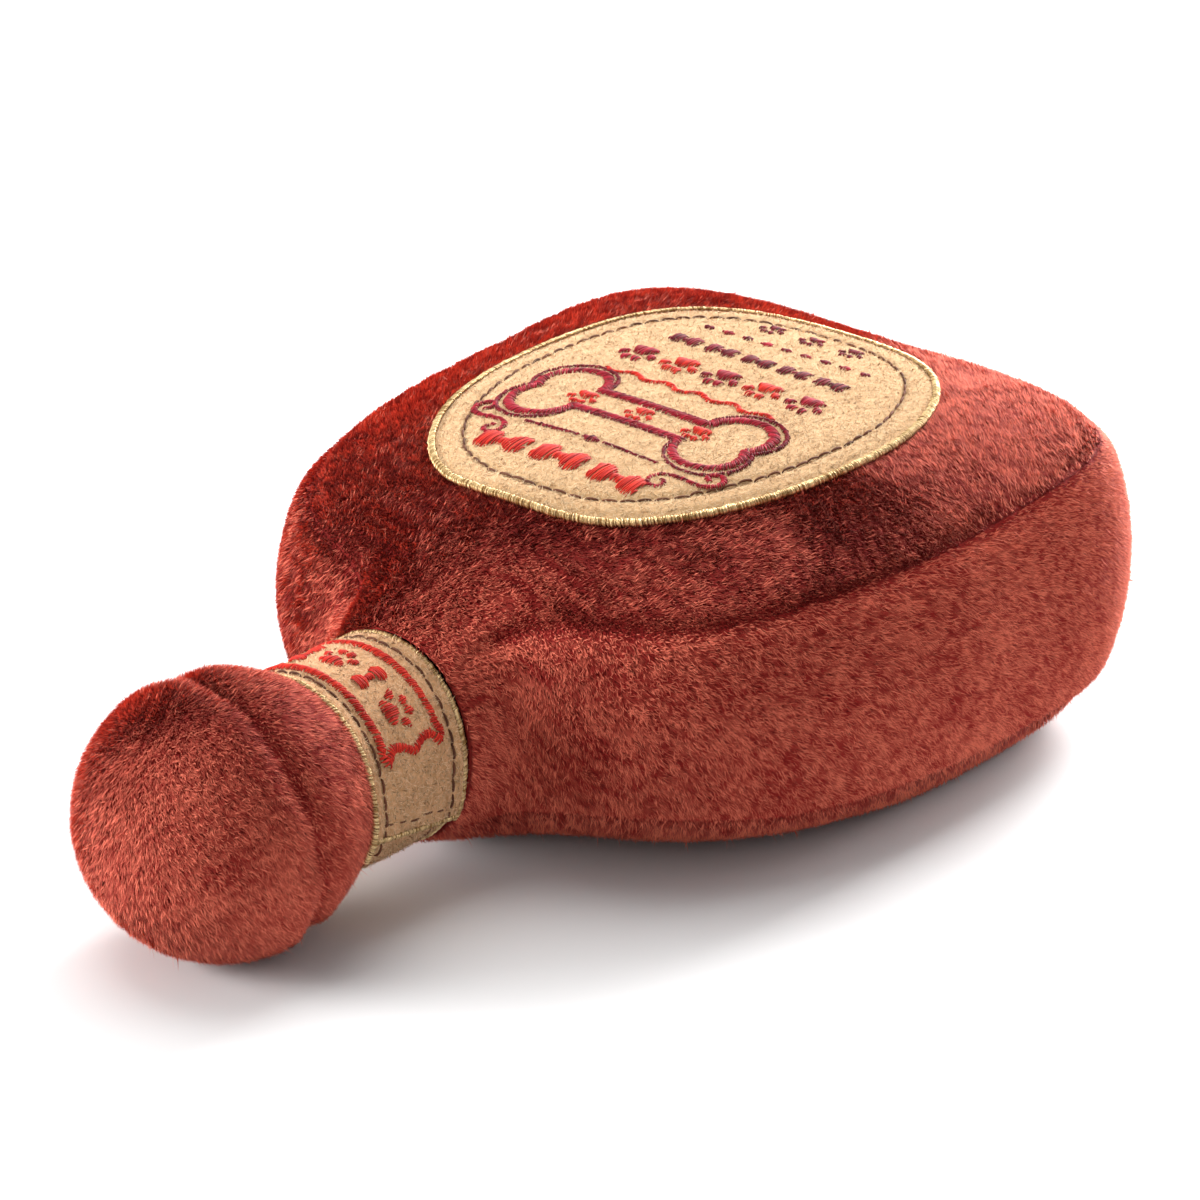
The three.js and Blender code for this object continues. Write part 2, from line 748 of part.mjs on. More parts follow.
const whistle = new THREE.Group();
squeaker.add(whistle);
const whistleFoot = -fineClearance - whistleFlangeHeight;
addPiece('whistle_housing', whistleHousing(), whistlePlastic, whistle);
const seat = addPiece('reed_seat', halfRound(whistleHeight - whistleFoot, true), whistlePlastic, whistle);
seat.position.z = whistleFoot;
const wedge = addPiece('reed_wedge', halfRound(reedClampLength, false), whistlePlastic, whistle);
wedge.rotation.z = Math.PI;
wedge.position.z = whistleFoot;
const reed = addPiece('reed', new THREE.BoxGeometry(reedWidth, reedThickness, reedLength), reedFoil, whistle);
reed.position.z = whistleFoot + reedLength / 2;

// The origin moves to the middle of the toy's length
const extent = new THREE.Box3().setFromObject(toy, true);
toy.position.x = -(extent.min.x + extent.max.x) / 2;

export default toy;
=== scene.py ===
"""A plush dog toy in the form of a short bottle with a round stopper, lying on its back.

Lengths are metres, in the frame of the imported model: +X from the stopper to the base, +Z up.
"""

import math

import bpy
import numpy as np
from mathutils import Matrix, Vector


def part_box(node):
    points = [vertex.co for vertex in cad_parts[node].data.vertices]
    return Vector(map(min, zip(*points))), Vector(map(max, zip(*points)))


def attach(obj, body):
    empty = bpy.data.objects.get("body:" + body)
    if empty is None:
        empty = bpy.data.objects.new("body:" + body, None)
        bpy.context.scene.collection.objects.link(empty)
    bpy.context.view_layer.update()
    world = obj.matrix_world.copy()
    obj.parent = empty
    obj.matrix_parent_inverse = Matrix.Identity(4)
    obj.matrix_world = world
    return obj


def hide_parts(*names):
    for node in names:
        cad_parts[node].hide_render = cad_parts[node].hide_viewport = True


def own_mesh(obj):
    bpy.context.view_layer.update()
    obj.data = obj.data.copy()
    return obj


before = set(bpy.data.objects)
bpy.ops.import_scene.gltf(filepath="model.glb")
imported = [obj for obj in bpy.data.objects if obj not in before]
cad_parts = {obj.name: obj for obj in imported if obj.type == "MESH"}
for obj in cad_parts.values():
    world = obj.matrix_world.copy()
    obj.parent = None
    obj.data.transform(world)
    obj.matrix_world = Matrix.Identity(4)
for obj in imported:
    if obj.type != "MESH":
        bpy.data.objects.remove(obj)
bpy.ops.object.select_all(action="DESELECT")
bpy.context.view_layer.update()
MM = 0.001

# Camera
# A long lens looks along the toy from the stopper's end, a little from above. Its place is given
# as a turn and a rise round the point that it is aimed at.
view_turn = math.radians(-49.21)
view_rise = math.radians(23.65)
view_distance = 1119.3 * MM
view_aim = Vector((13.85, -2.03, 32.79)) * MM
view_back = Vector((
    math.sin(view_turn) * math.cos(view_rise),
    -math.cos(view_turn) * math.cos(view_rise),
    math.sin(view_rise),
))
bpy.ops.object.camera_add(
    location=view_aim + view_distance * view_back,
    rotation=(math.pi / 2 - view_rise, 0, view_turn),
)
camera = bpy.context.object
camera.name = "camera"
camera.data.sensor_width = 36
camera.data.lens = 190.8
bpy.context.scene.camera = camera

# Body cover
# Three pieces of short-pile plush: a front panel, a back panel and one gusset strip between them
# that starts and ends at the neck. They are sewn right sides together, turned and stuffed tight.
neck_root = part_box("side_gusset")[0].x
axis_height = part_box("neck_tube")[0].z + 16.6 * MM
neck_edge_radius = 19.5 * MM
seam_angle = math.radians(42)
body_length = 139.6 * MM
body_half_width = 61.4 * MM
widest = 88.3 * MM
base_squareness = 4.5
shoulder_flare = math.radians(5)
shoulder_pulls = (25.3 * MM, 88.3 * MM)
front_seam_heights = [h * MM for h in (49.5, 48.7, 50.9, 52.3, 54.8, 56.5, 56.2)]
back_seam_heights = [h * MM for h in (10.5, 11.5, 9, 8, 8.5, 10, 10.6)]
crown_height = 63 * MM
crown_fullness = 3.4
back_sag = 16.3 * MM
back_fullness = 2.5
gusset_bulge = 5 * MM
gusset_roundness = 0.8
neck_blend_share = 0.15
neck_rise_share = 0.13
neck_pull = 8
panel_middle = (85 * MM, 0)
seam_dip = 1.3 * MM
seam_dip_width = 2.6 * MM
pile_height = 1.05 * MM
cloth_thickness = 0.9 * MM
floor_gap = 0.15 * MM


def smooth(share):
    share = np.clip(share, 0, 1)
    return share * share * (3 - 2 * share)


def mix(a, b, share):
    return a + (b - a) * share


def unit(vectors):
    return vectors / np.maximum(np.linalg.norm(vectors, axis=-1, keepdims=True), 1e-12)


def evenly(path, count):
    """Points at even steps along a path."""
    steps = np.linalg.norm(np.diff(path, axis=0), axis=1)
    run = np.concatenate([[0], np.cumsum(steps)])
    even = np.linspace(0, run[-1], count)
    return np.stack([np.interp(even, run, path[:, k]) for k in range(path.shape[1])], 1)


def squared_reach(turn, squareness):
    """How far a squared-off circle of radius one reaches in a direction."""
    across = np.abs(np.cos(turn)) ** squareness
    up = np.abs(np.sin(turn)) ** squareness
    return (across + up) ** (-1 / squareness)


def half_outline(count):
    """The flared shoulder, then the squared-off base, as seen from above."""
    root = np.array((0, neck_edge_radius * math.sin(seam_angle)))
    flare = np.array((math.cos(shoulder_flare), math.sin(shoulder_flare)))
    shoulder_end = np.array((widest, body_half_width))
    pull = shoulder_end - (shoulder_pulls[1], 0)
    t = np.linspace(0, 1, 300)[:, None]
    shoulder = (
        (1 - t) ** 3 * root
        + 3 * (1 - t) ** 2 * t * (root + shoulder_pulls[0] * flare)
        + 3 * (1 - t) * t * t * pull
        + t ** 3 * shoulder_end
    )
    turn = t * math.pi / 2
    reach = squared_reach(turn, base_squareness)
    base = np.hstack([
        widest + (body_length - widest) * np.sin(turn) * reach,
        body_half_width * np.cos(turn) * reach,
    ])
    return evenly(np.vstack([shoulder, base[1:]]), count)


def taut_height(share, knots):
    """A smooth curve through heights at even steps."""
    knots = np.asarray(knots)
    place = share * (len(knots) - 1)
    low = np.clip(np.floor(place).astype(int), 0, len(knots) - 2)
    t = place - low
    a, b, c, d = (knots[np.clip(low + k, 0, len(knots) - 1)] for k in (-1, 0, 1, 2))
    before, after = (c - a) / 2, (d - b) / 2
    return (
        (2 * b - 2 * c + before + after) * t**3
        + (3 * c - 3 * b - 2 * before - after) * t**2
        + before * t
        + b
    )


def seam_height(share, neck_height, knots):
    """A seam's height as it leaves the neck and finds its own line."""
    rise = 1 - (1 - np.minimum(share / neck_rise_share, 1)) ** 2
    return mix(neck_height, taut_height(share, knots), rise)


def seam_columns(count):
    """The seam line all round, from the neck along the near side and back along the far side."""
    half = half_outline(count)
    share = np.linspace(0, 1, count)
    ahead = np.vstack([half[1:], half[-2] * (1, -1)])
    behind = np.vstack([half[:1], half[:-1]])
    along = unit(ahead - behind)
    free = smooth(share / neck_blend_share)
    normal = unit(np.stack([-along[:, 1] * free, along[:, 0] * free + 1 - free], 1))
    drop = neck_edge_radius * math.cos(seam_angle)
    front = seam_height(share, axis_height + drop, front_seam_heights)
    back = seam_height(share, axis_height - drop, back_seam_heights)
    taut = taut_height(share, front_seam_heights)
    table = np.column_stack([half, normal, free, front, back, taut])
    near = table * (1, -1, 1, -1, 1, 1, 1, 1)
    return dict(zip(
        ("x", "y", "out_x", "out_y", "free", "front", "back", "taut"),
        np.vstack([near, table[-2::-1]]).T,
    ))


columns = seam_columns(120)
columns["x"] = columns["x"] + neck_root
middle_x = panel_middle[0] + neck_root


def gusset_point(share):
    """The gusset's outer face at a share of the way from the front seam to the back seam."""
    c = columns
    angle = seam_angle + (math.pi - 2 * seam_angle) * share
    round_out = neck_edge_radius * (math.sin(angle) - math.sin(seam_angle))
    round_share = (1 - math.cos(angle) / math.cos(seam_angle)) / 2
    body_out = gusset_bulge * math.sin(math.pi * share) ** gusset_roundness
    out = mix(round_out, body_out, c["free"])
    return np.stack([
        c["x"] + c["out_x"] * out,
        c["y"] + c["out_y"] * out,
        mix(c["front"], c["back"], mix(round_share, share, c["free"])),
    ], 1)


neck_arc_points = 22


def panel_edge(side):
    """A panel's edge: the seam, then the arc over or under the neck, as a closed loop."""
    height = columns["front" if side > 0 else "back"]
    seam = np.stack([columns["x"], columns["y"], height], 1)
    angle = np.linspace(seam_angle, -seam_angle, neck_arc_points + 2)[1:-1]
    arc = np.stack([
        np.full_like(angle, neck_root),
        neck_edge_radius * np.sin(angle),
        axis_height + side * neck_edge_radius * np.cos(angle),
    ], 1)
    return np.vstack([seam, arc])


taut_edge = np.concatenate([columns["taut"], np.full(neck_arc_points, front_seam_heights[0])])


def panel_height(side, edge_height, taut, share):
    """The neck draws the front down only near the edge."""
    if side < 0:
        sagging = edge_height - (edge_height + back_sag) * (1 - share**back_fullness)
        return np.maximum(sagging, 0)
    drawn = mix(taut, edge_height, share**neck_pull)
    return drawn + (crown_height - drawn) * (1 - share**crown_fullness)


def panel_rings(side, shares):
    """A panel as rings, from near its middle out to its edge."""
    edge = panel_edge(side)
    rings = []
    for share in shares:
        ring = edge.copy()
        ring[:, 0] = mix(middle_x, edge[:, 0], share)
        ring[:, 1] = mix(0, edge[:, 1], share)
        ring[:, 2] = panel_height(side, edge[:, 2], taut_edge, share)
        rings.append(ring)
    return np.array(rings)


edge_plan = panel_edge(1)[:, :2]
edge_turns = np.arctan2(edge_plan[:, 1], edge_plan[:, 0] - middle_x)
edge_reaches = np.hypot(edge_plan[:, 1], edge_plan[:, 0] - middle_x)
field_step = 0.5 * MM
field_margin = 3 * MM
field_corner = np.array((neck_root - field_margin, -body_half_width - field_margin))
rounding_rounds = 420
hips_end = 45 * MM
held_edge = 6 * MM


def hipped_height(side, x, y):
    """A panel's height where its rings alone give it, with a hip on each side of the neck."""
    turn = np.arctan2(y, x - middle_x)
    reach, edge, taut = (
        np.interp(turn, edge_turns, values, period=2 * math.pi)
        for values in (edge_reaches, panel_edge(side)[:, 2], taut_edge)
    )
    return panel_height(side, edge, taut, np.hypot(x - middle_x, y) / reach)


def rounded_field(side):
    """Heights of a panel on a grid, where the stuffing rounds off the two hips from the neck."""
    end = (neck_root + body_length + field_margin, body_half_width + field_margin)
    steps = [np.arange(low, high, field_step) for low, high in zip(field_corner, end)]
    x, y = np.meshgrid(*steps, indexing="ij")
    height = hipped_height(side, x, y)
    from_edge = np.full(x.shape, 1.0)
    for edge_x, edge_y in edge_plan:
        from_edge = np.minimum(from_edge, np.hypot(x - edge_x, y - edge_y))
    free = smooth((from_edge - 0.5 * MM) / held_edge) * (1 - smooth(x / hips_end))
    for _ in range(rounding_rounds):
        inner = height[1:-1, 1:-1]
        around = height[2:, 1:-1] + height[:-2, 1:-1] + height[1:-1, 2:] + height[1:-1, :-2]
        height[1:-1, 1:-1] = inner + 0.2 * free[1:-1, 1:-1] * (around - 4 * inner)
    return height


def field_height(field, x, y):
    """The height between a grid's own points."""
    i, j = ((value - start) / field_step for value, start in zip((x, y), field_corner))
    low_i = np.clip(np.floor(i).astype(int), 0, field.shape[0] - 2)
    low_j = np.clip(np.floor(j).astype(int), 0, field.shape[1] - 2)
    part_i, part_j = i - low_i, j - low_j
    near = mix(field[low_i, low_j], field[low_i + 1, low_j], part_i)
    far = mix(field[low_i, low_j + 1], field[low_i + 1, low_j + 1], part_i)
    return mix(near, far, part_j)


front_field, back_field = rounded_field(1), rounded_field(-1)


def front_height(x, y):
    return field_height(front_field, x, y)


def grid_quads(rows, count, closed):
    """Quads between rows of points, which close on themselves or stay open."""
    i = np.arange(count if closed else count - 1)
    j = (i + 1) % count
    first = np.arange(rows - 1)[:, None] * count
    return np.stack([first + i, first + j, first + count + j, first + count + i], 2).reshape(-1, 4)


def vertex_normals(points, quads):
    a, b, c, d = (points[quads[:, k]] for k in range(4))
    face = np.cross(c - a, d - b)
    normals = np.zeros_like(points)
    for k in range(4):
        np.add.at(normals, quads[:, k], face)
    return unit(normals)


# Where the cloth is drawn in, in millimetres: a middle, a direction, and along that direction a
# half length, a half width and a depth
body_creases = [
    # on the gusset beside the neck
    ((-27.5, -19.5, 30), (0.25, -0.1, 1), 12, 3.2, 1.5),
    ((-27.5, 19.5, 30), (0.25, 0.1, 1), 12, 3.2, 1.3),
    # at the front seam past the neck
    ((-4, -36, 51), (1, -0.55, 0), 7, 2.2, 1.4),
    ((-6, 35, 51), (1, 0.55, 0), 6, 2.2, 1.2),
    # the front panel's short folds from the neck
    ((-29, -10, 47), (1, -0.4, 0.5), 8, 3.4, 0.9),
    ((-29, 10, 47), (1, 0.4, 0.5), 8, 3.4, 0.9),
]


def crease(points, normals):
    """Presses the creases into the cloth."""
    for middle, along, half_length, half_width, depth in body_creases:
        away = points / MM - np.array(middle)
        along = np.array(along) / np.linalg.norm(along)
        run = away @ along
        side = np.linalg.norm(away - run[:, None] * along, axis=1)
        share = np.exp(-((run / half_length) ** 2) - (side / half_width) ** 2)
        points = points - normals * (share * depth * MM)[:, None]
    return points


def faced_outwards(points, quads, middle):
    """The quads, turned round if they face the middle of the piece's body, and the points' normals."""
    normals = vertex_normals(points, quads)
    if ((points - middle) * normals).sum() < 0:
        return quads[:, ::-1], -normals
    return quads, normals


panel_shares = np.concatenate([np.linspace(0.02, 0.8, 26), np.linspace(0.815, 1, 22)])
gusset_shares = np.linspace(0, 1, 34)
seam_blend = 4 * MM
seam_fade = 11 * MM
seam_fade_reach = 6 * MM


def faced_rows(rows, closed):
    """Quads and normals of a cover piece that is given as rows of points."""
    points = rows.reshape(-1, 3)
    quads = grid_quads(len(rows), rows.shape[1], closed)
    quads, normals = faced_outwards(points, quads, (middle_x, 0, axis_height))
    return quads, normals.reshape(rows.shape)


front_rows, back_rows = panel_rings(1, panel_shares), panel_rings(-1, panel_shares)
for rows, field in ((front_rows, front_field), (back_rows, back_field)):
    rows[:-1, :, 2] = field_height(field, rows[:-1, :, 0], rows[:-1, :, 1])
gusset_rows = np.array([gusset_point(share) for share in gusset_shares])
front_quads, front_normals = faced_rows(front_rows, True)
back_quads, back_normals = faced_rows(back_rows, True)
gusset_quads, gusset_normals = faced_rows(gusset_rows, False)
# Where two pieces are sewn together both are drawn in the same way, so no gap opens between them
column_count = len(columns["x"])
front_joint, back_joint = front_normals[-1].copy(), back_normals[-1].copy()
front_joint[:column_count] = unit(front_joint[:column_count] + gusset_normals[0])
back_joint[:column_count] = unit(back_joint[:column_count] + gusset_normals[-1])


def draw_in(rows, normals, joint, distance):
    """The cloth's own points, a pile's height under the outer face, and their way to the seam.

    A seam is drawn in along its line, and shows less where it runs out at the neck.
    """
    ways = unit(mix(joint, normals, smooth(distance / seam_blend)[..., None])).reshape(-1, 3)
    points = rows.reshape(-1, 3)
    fading = 1 - smooth((points[:, 0] - neck_root) / seam_fade)
    seam = distance.ravel() + seam_fade_reach * fading
    dip = seam_dip * np.exp(-((seam / seam_dip_width) ** 2))
    return crease(points, ways) - ways * (pile_height + dip)[:, None], seam


def panel_cloth(rows, normals, joint):
    """A panel's cloth, which is drawn in along its outer ring."""
    reach = np.linalg.norm(rows[-1, :, :2] - (middle_x, 0), axis=1)
    distance = (1 - panel_shares[:, None]) * reach
    return draw_in(rows, normals, joint, distance)


def gusset_cloth():
    """The gusset's cloth, which is drawn in along both of its long edges."""
    height = np.linalg.norm(np.diff(gusset_rows, axis=0), axis=2).sum(0)
    distance = np.minimum(gusset_shares, 1 - gusset_shares)[:, None] * height
    nearest = (gusset_shares < 0.5)[:, None, None]
    joint = np.where(nearest, front_joint[:column_count], back_joint[:column_count])
    return draw_in(gusset_rows, gusset_normals, joint, distance)


def new_piece(name, points, corners, sides, material):
    """A mesh object from its points, its faces' corners in a row and each face's number of sides."""
    mesh = bpy.data.meshes.new(name)
    mesh.vertices.add(len(points))
    mesh.vertices.foreach_set("co", np.asarray(points, np.float32).ravel())
    mesh.loops.add(len(corners))
    mesh.polygons.add(len(sides))
    starts = np.concatenate([[0], np.cumsum(sides)[:-1]]).astype(np.int32)
    mesh.polygons.foreach_set("loop_start", starts)
    mesh.polygons.foreach_set("vertices", np.asarray(corners, np.int32))
    mesh.update(calc_edges=True)
    mesh.materials.append(material)
    piece = bpy.data.objects.new(name, mesh)
    bpy.context.scene.collection.objects.link(piece)
    return piece


def soften(piece):
    piece.data.polygons.foreach_set("use_smooth", np.ones(len(piece.data.polygons), bool))


def select_only(piece):
    bpy.ops.object.select_all(action="DESELECT")
    piece.select_set(True)
    bpy.context.view_layer.objects.active = piece


def apply_modifiers(piece):
    select_only(piece)
    for modifier in list(piece.modifiers):
        bpy.ops.object.modifier_apply(modifier=modifier.name)


def give_thickness(piece, thickness):
    wall = piece.modifiers.new("wall", "SOLIDIFY")
    wall.thickness = thickness
    wall.offset = -1
    apply_modifiers(piece)


def squeeze_with_toy(piece):
    """Puts the piece on the toy's body, with a mesh of its own; the real toy flattens towards the floor as
    the squeaker inside it is pressed.
    """
    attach(piece, "toy")
    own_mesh(piece)


def start_group(name, inputs, outputs):
    """A node group with named inputs and outputs: its tree, and the nodes at its two ends."""
    tree = bpy.data.node_groups.new(name, "ShaderNodeTree")
    for side, sockets in (("INPUT", inputs), ("OUTPUT", outputs)):
        for socket, kind in sockets.items():
            tree.interface.new_socket(socket, in_out=side, socket_type="NodeSocket" + kind)
    return tree, tree.nodes.new("NodeGroupInput"), tree.nodes.new("NodeGroupOutput")


def mixed_colour(tree, share, first, second):
    """The socket of a colour between two others."""
    colour = tree.nodes.new("ShaderNodeMix")
    colour.data_type = "RGBA"
    tree.links.new(share, colour.inputs["Factor"])
    tree.links.new(first, colour.inputs["A"])
    tree.links.new(second, colour.inputs["B"])
    return colour.outputs["Result"]


def stretched(tree, value, low, high):
    """A node that stretches a value from low and high out to nought and one."""
    spread = tree.nodes.new("ShaderNodeMapRange")
    spread.inputs["From Min"].default_value = low
    spread.inputs["From Max"].default_value = high
    tree.links.new(value, spread.inputs["Value"])
    return spread


def strand_colour_group():
    """Turns a fibre's own map, its shade across and its length up, into a colour. Towards the root it
    falls to the Root colour, which on the pile and the threads is a painted shade where they go into the
    cloth.
    """
    tree, given, result = start_group(
        "strand_colour",
        {"Map": "Vector", "Root": "Color", "Dark": "Color", "Light": "Color", "Root End": "Float"},
        {"Color": "Color"})
    link = tree.links.new
    parts = tree.nodes.new("ShaderNodeSeparateXYZ")
    link(given.outputs["Map"], parts.inputs[0])
    shade = mixed_colour(tree, parts.outputs["X"], given.outputs["Dark"], given.outputs["Light"])
    rise = stretched(tree, parts.outputs["Y"], 0, 1)
    rise.interpolation_type = "SMOOTHSTEP"
    link(given.outputs["Root End"], rise.inputs["From Max"])
    body = mixed_colour(tree, rise.outputs["Result"], given.outputs["Root"], shade)
    link(body, result.inputs["Color"])
    return tree


def cloth_group():
    """Gives cloth its fine mottling and a height for its bumps."""
    tree, given, result = start_group(
        "cloth_mottling",
        {"Dark": "Color", "Light": "Color", "Patch Scale": "Float", "Fibre Scale": "Float"},
        {"Color": "Color", "Height": "Float"})
    nodes, link = tree.nodes, tree.links.new
    place = nodes.new("ShaderNodeTexCoord")
    patches = nodes.new("ShaderNodeTexNoise")
    fibres = nodes.new("ShaderNodeTexNoise")
    for texture, scale in ((patches, "Patch Scale"), (fibres, "Fibre Scale")):
        link(place.outputs["Object"], texture.inputs["Vector"])
        link(given.outputs[scale], texture.inputs["Scale"])
        texture.inputs["Detail"].default_value = 4
    fibres.inputs["Roughness"].default_value = 0.7
    both = nodes.new("ShaderNodeMath")
    both.operation = "MULTIPLY_ADD"
    both.inputs[1].default_value = 0.6
    link(fibres.outputs[0], both.inputs[0])
    link(patches.outputs[0], both.inputs[2])
    spread = stretched(tree, both.outputs[0], 0.45, 1.15)
    colour = mixed_colour(tree, spread.outputs["Result"], given.outputs["Dark"], given.outputs["Light"])
    link(colour, result.inputs["Color"])
    link(fibres.outputs[0], result.inputs["Height"])
    return tree


strand_colour = strand_colour_group()
cloth_mottling = cloth_group()


def start_material(name, group, colours, values):
    """A material coloured by a node group, with the group's own colours and values set."""
    material = bpy.data.materials.new(name)
    material.use_nodes = True
    nodes, link = material.node_tree.nodes, material.node_tree.links.new
    finish = nodes.new("ShaderNodeGroup")
    finish.node_tree = group
    for socket, colour in colours.items():
        finish.inputs[socket].default_value = (*colour, 1)
    for socket, value in values.items():
        finish.inputs[socket].default_value = value
    link(finish.outputs["Color"], nodes["Principled BSDF"].inputs["Base Color"])
    return material, nodes["Principled BSDF"], finish


def raise_surface(material, finish, distance, strength=1):
    """Small bumps from the group's height."""
    nodes, link = material.node_tree.nodes, material.node_tree.links.new
    raised = nodes.new("ShaderNodeBump")
    raised.inputs["Distance"].default_value = distance
    raised.inputs["Strength"].default_value = strength
    link(finish.outputs["Height"], raised.inputs["Height"])
    link(raised.outputs["Normal"], nodes["Principled BSDF"].inputs["Normal"])


def strand_material(name, root, dark, light, root_end, roughness, sheen=0, metallic=0, gloss=0.25):
    """Fibre or thread: its colour rises from the root's to its own shade of dark or light."""
    colours = {"Root": root, "Dark": dark, "Light": light}
    material, shader, colour = start_material(name, strand_colour, colours, {"Root End": root_end})
    own_map = material.node_tree.nodes.new("ShaderNodeUVMap")
    own_map.uv_map = "OFBake"
    material.node_tree.links.new(own_map.outputs["UV"], colour.inputs["Map"])
    shader.inputs["Roughness"].default_value = roughness
    shader.inputs["Metallic"].default_value = metallic
    shader.inputs["Specular IOR Level"].default_value = gloss
    shader.inputs["Sheen Weight"].default_value = sheen
    shader.inputs["Sheen Roughness"].default_value = 0.4
    shader.inputs["Sheen Tint"].default_value = (1, 0.58, 0.48, 1)
    return material


def cloth_material(name, dark, light, patch_size, fibre_size, bump, roughness, sheen=0):
    """Cloth or felt, mottled in patches and finely rough."""
    scales = {"Patch Scale": 1 / patch_size, "Fibre Scale": 1 / fibre_size}
    material, shader, colour = start_material(name, cloth_mottling, {"Dark": dark, "Light": light}, scales)
    raise_surface(material, colour, bump, 0.6)
    shader.inputs["Roughness"].default_value = roughness
    shader.inputs["Specular IOR Level"].default_value = 0.2
    shader.inputs["Sheen Weight"].default_value = sheen
    return material


plush_backing = cloth_material(
    "plush_backing", (0.18, 0.01, 0.008), (0.3, 0.02, 0.015), 9 * MM, 0.9 * MM, 0.5 * MM, 0.95)
# The pile's root colour is darker than its own shades: painted shade deep in the pile
plush_pile = strand_material(
    "plush_pile", (0.15, 0.005, 0.004), (0.38, 0.014, 0.011), (0.93, 0.22, 0.132), 0.45, 0.8, sheen=0.22)

# Random but repeatable: one table of directions serves all drift over the cloth
random = np.random.default_rng(11)
drift_cells = 32
drift_table = random.uniform(-1, 1, (drift_cells, drift_cells, drift_cells, 3))


def drift(points, size):
    """A smooth random vector at each point, alike over about the given size."""
    place = points / size + 100
    low = np.floor(place).astype(int)
    part = smooth(place - low)
    total = np.zeros_like(points)
    for corner in np.ndindex(2, 2, 2):
        weight = np.prod(np.where(corner, part, 1 - part), axis=1)
        x, y, z = ((low + corner) % drift_cells).T
        total += weight[:, None] * drift_table[x, y, z]
    return total


def scatter(points, quads, normals, extra, density):
    """Random roots spread evenly over quads, with their normals and one more vector each."""
    a, b, c, d = (points[quads[:, k]] for k in range(4))
    area = np.linalg.norm(np.cross(c - a, d - b), axis=1) / 2
    count = int(area.sum() * density)
    face = random.choice(len(quads), count, p=area / area.sum())
    u, v = random.uniform(0, 1, (2, count, 1))
    weights = ((1 - u) * (1 - v), u * (1 - v), u * v, (1 - u) * v)
    roots, up, more = (
        sum(weight * values[quads[face, k]] for k, weight in enumerate(weights))
        for values in (points, normals, extra)
    )
    return roots, unit(up), more


fibre_softness = 0.45


def strands(name, roots, normals, ways, lengths, width, shades, material, roll=0.5):
    """Thin tapering fibres, one narrow triangle each, lit for the most part as the cloth under them."""
    count = len(roots)
    across = unit(np.cross(ways, normals))
    across = unit(across + random.uniform(-roll, roll, (count, 1)) * normals) * width / 2
    tips = roots + lengths[:, None] * ways
    points = np.stack([roots - across, roots + across, tips], 1).reshape(-1, 3)
    piece = new_piece(name, points, np.arange(count * 3), np.full(count, 3), material)
    own = unit(np.cross(across, ways))
    soft = unit(fibre_softness * normals + (1 - fibre_softness) * own)
    given = piece.data.attributes.new("custom_normal", "FLOAT_VECTOR", "POINT")
    given.data.foreach_set("vector", np.repeat(soft, 3, 0).astype(np.float32).ravel())
    u = np.clip(shades, 0.02, 0.98)[:, None] + (-0.008, 0.008, 0)
    v = np.tile((0.02, 0.02, 0.98), (count, 1))
    write_map(piece, u, v)
    return piece


def write_map(piece, u, v):
    layer = piece.data.uv_layers.new(name="OFBake")
    layer.uv.foreach_set("vector", np.stack([u.ravel(), v.ravel()], 1).astype(np.float32).ravel())


pile_density = 24 / MM**2
hidden_pile_density = 14 / MM**2
pile_length = 1.6 * MM
pile_width = 0.17 * MM
wisp_share = 0.17
wisp_width = 0.34 * MM
stray_share = 0.0009
stray_stretch = 2
pile_lean = math.radians(56)
seam_parting_and_shade_width = 1.3 * MM
streak_stretch = 0.75


def nowhere(points):
    return np.zeros(len(points), bool)


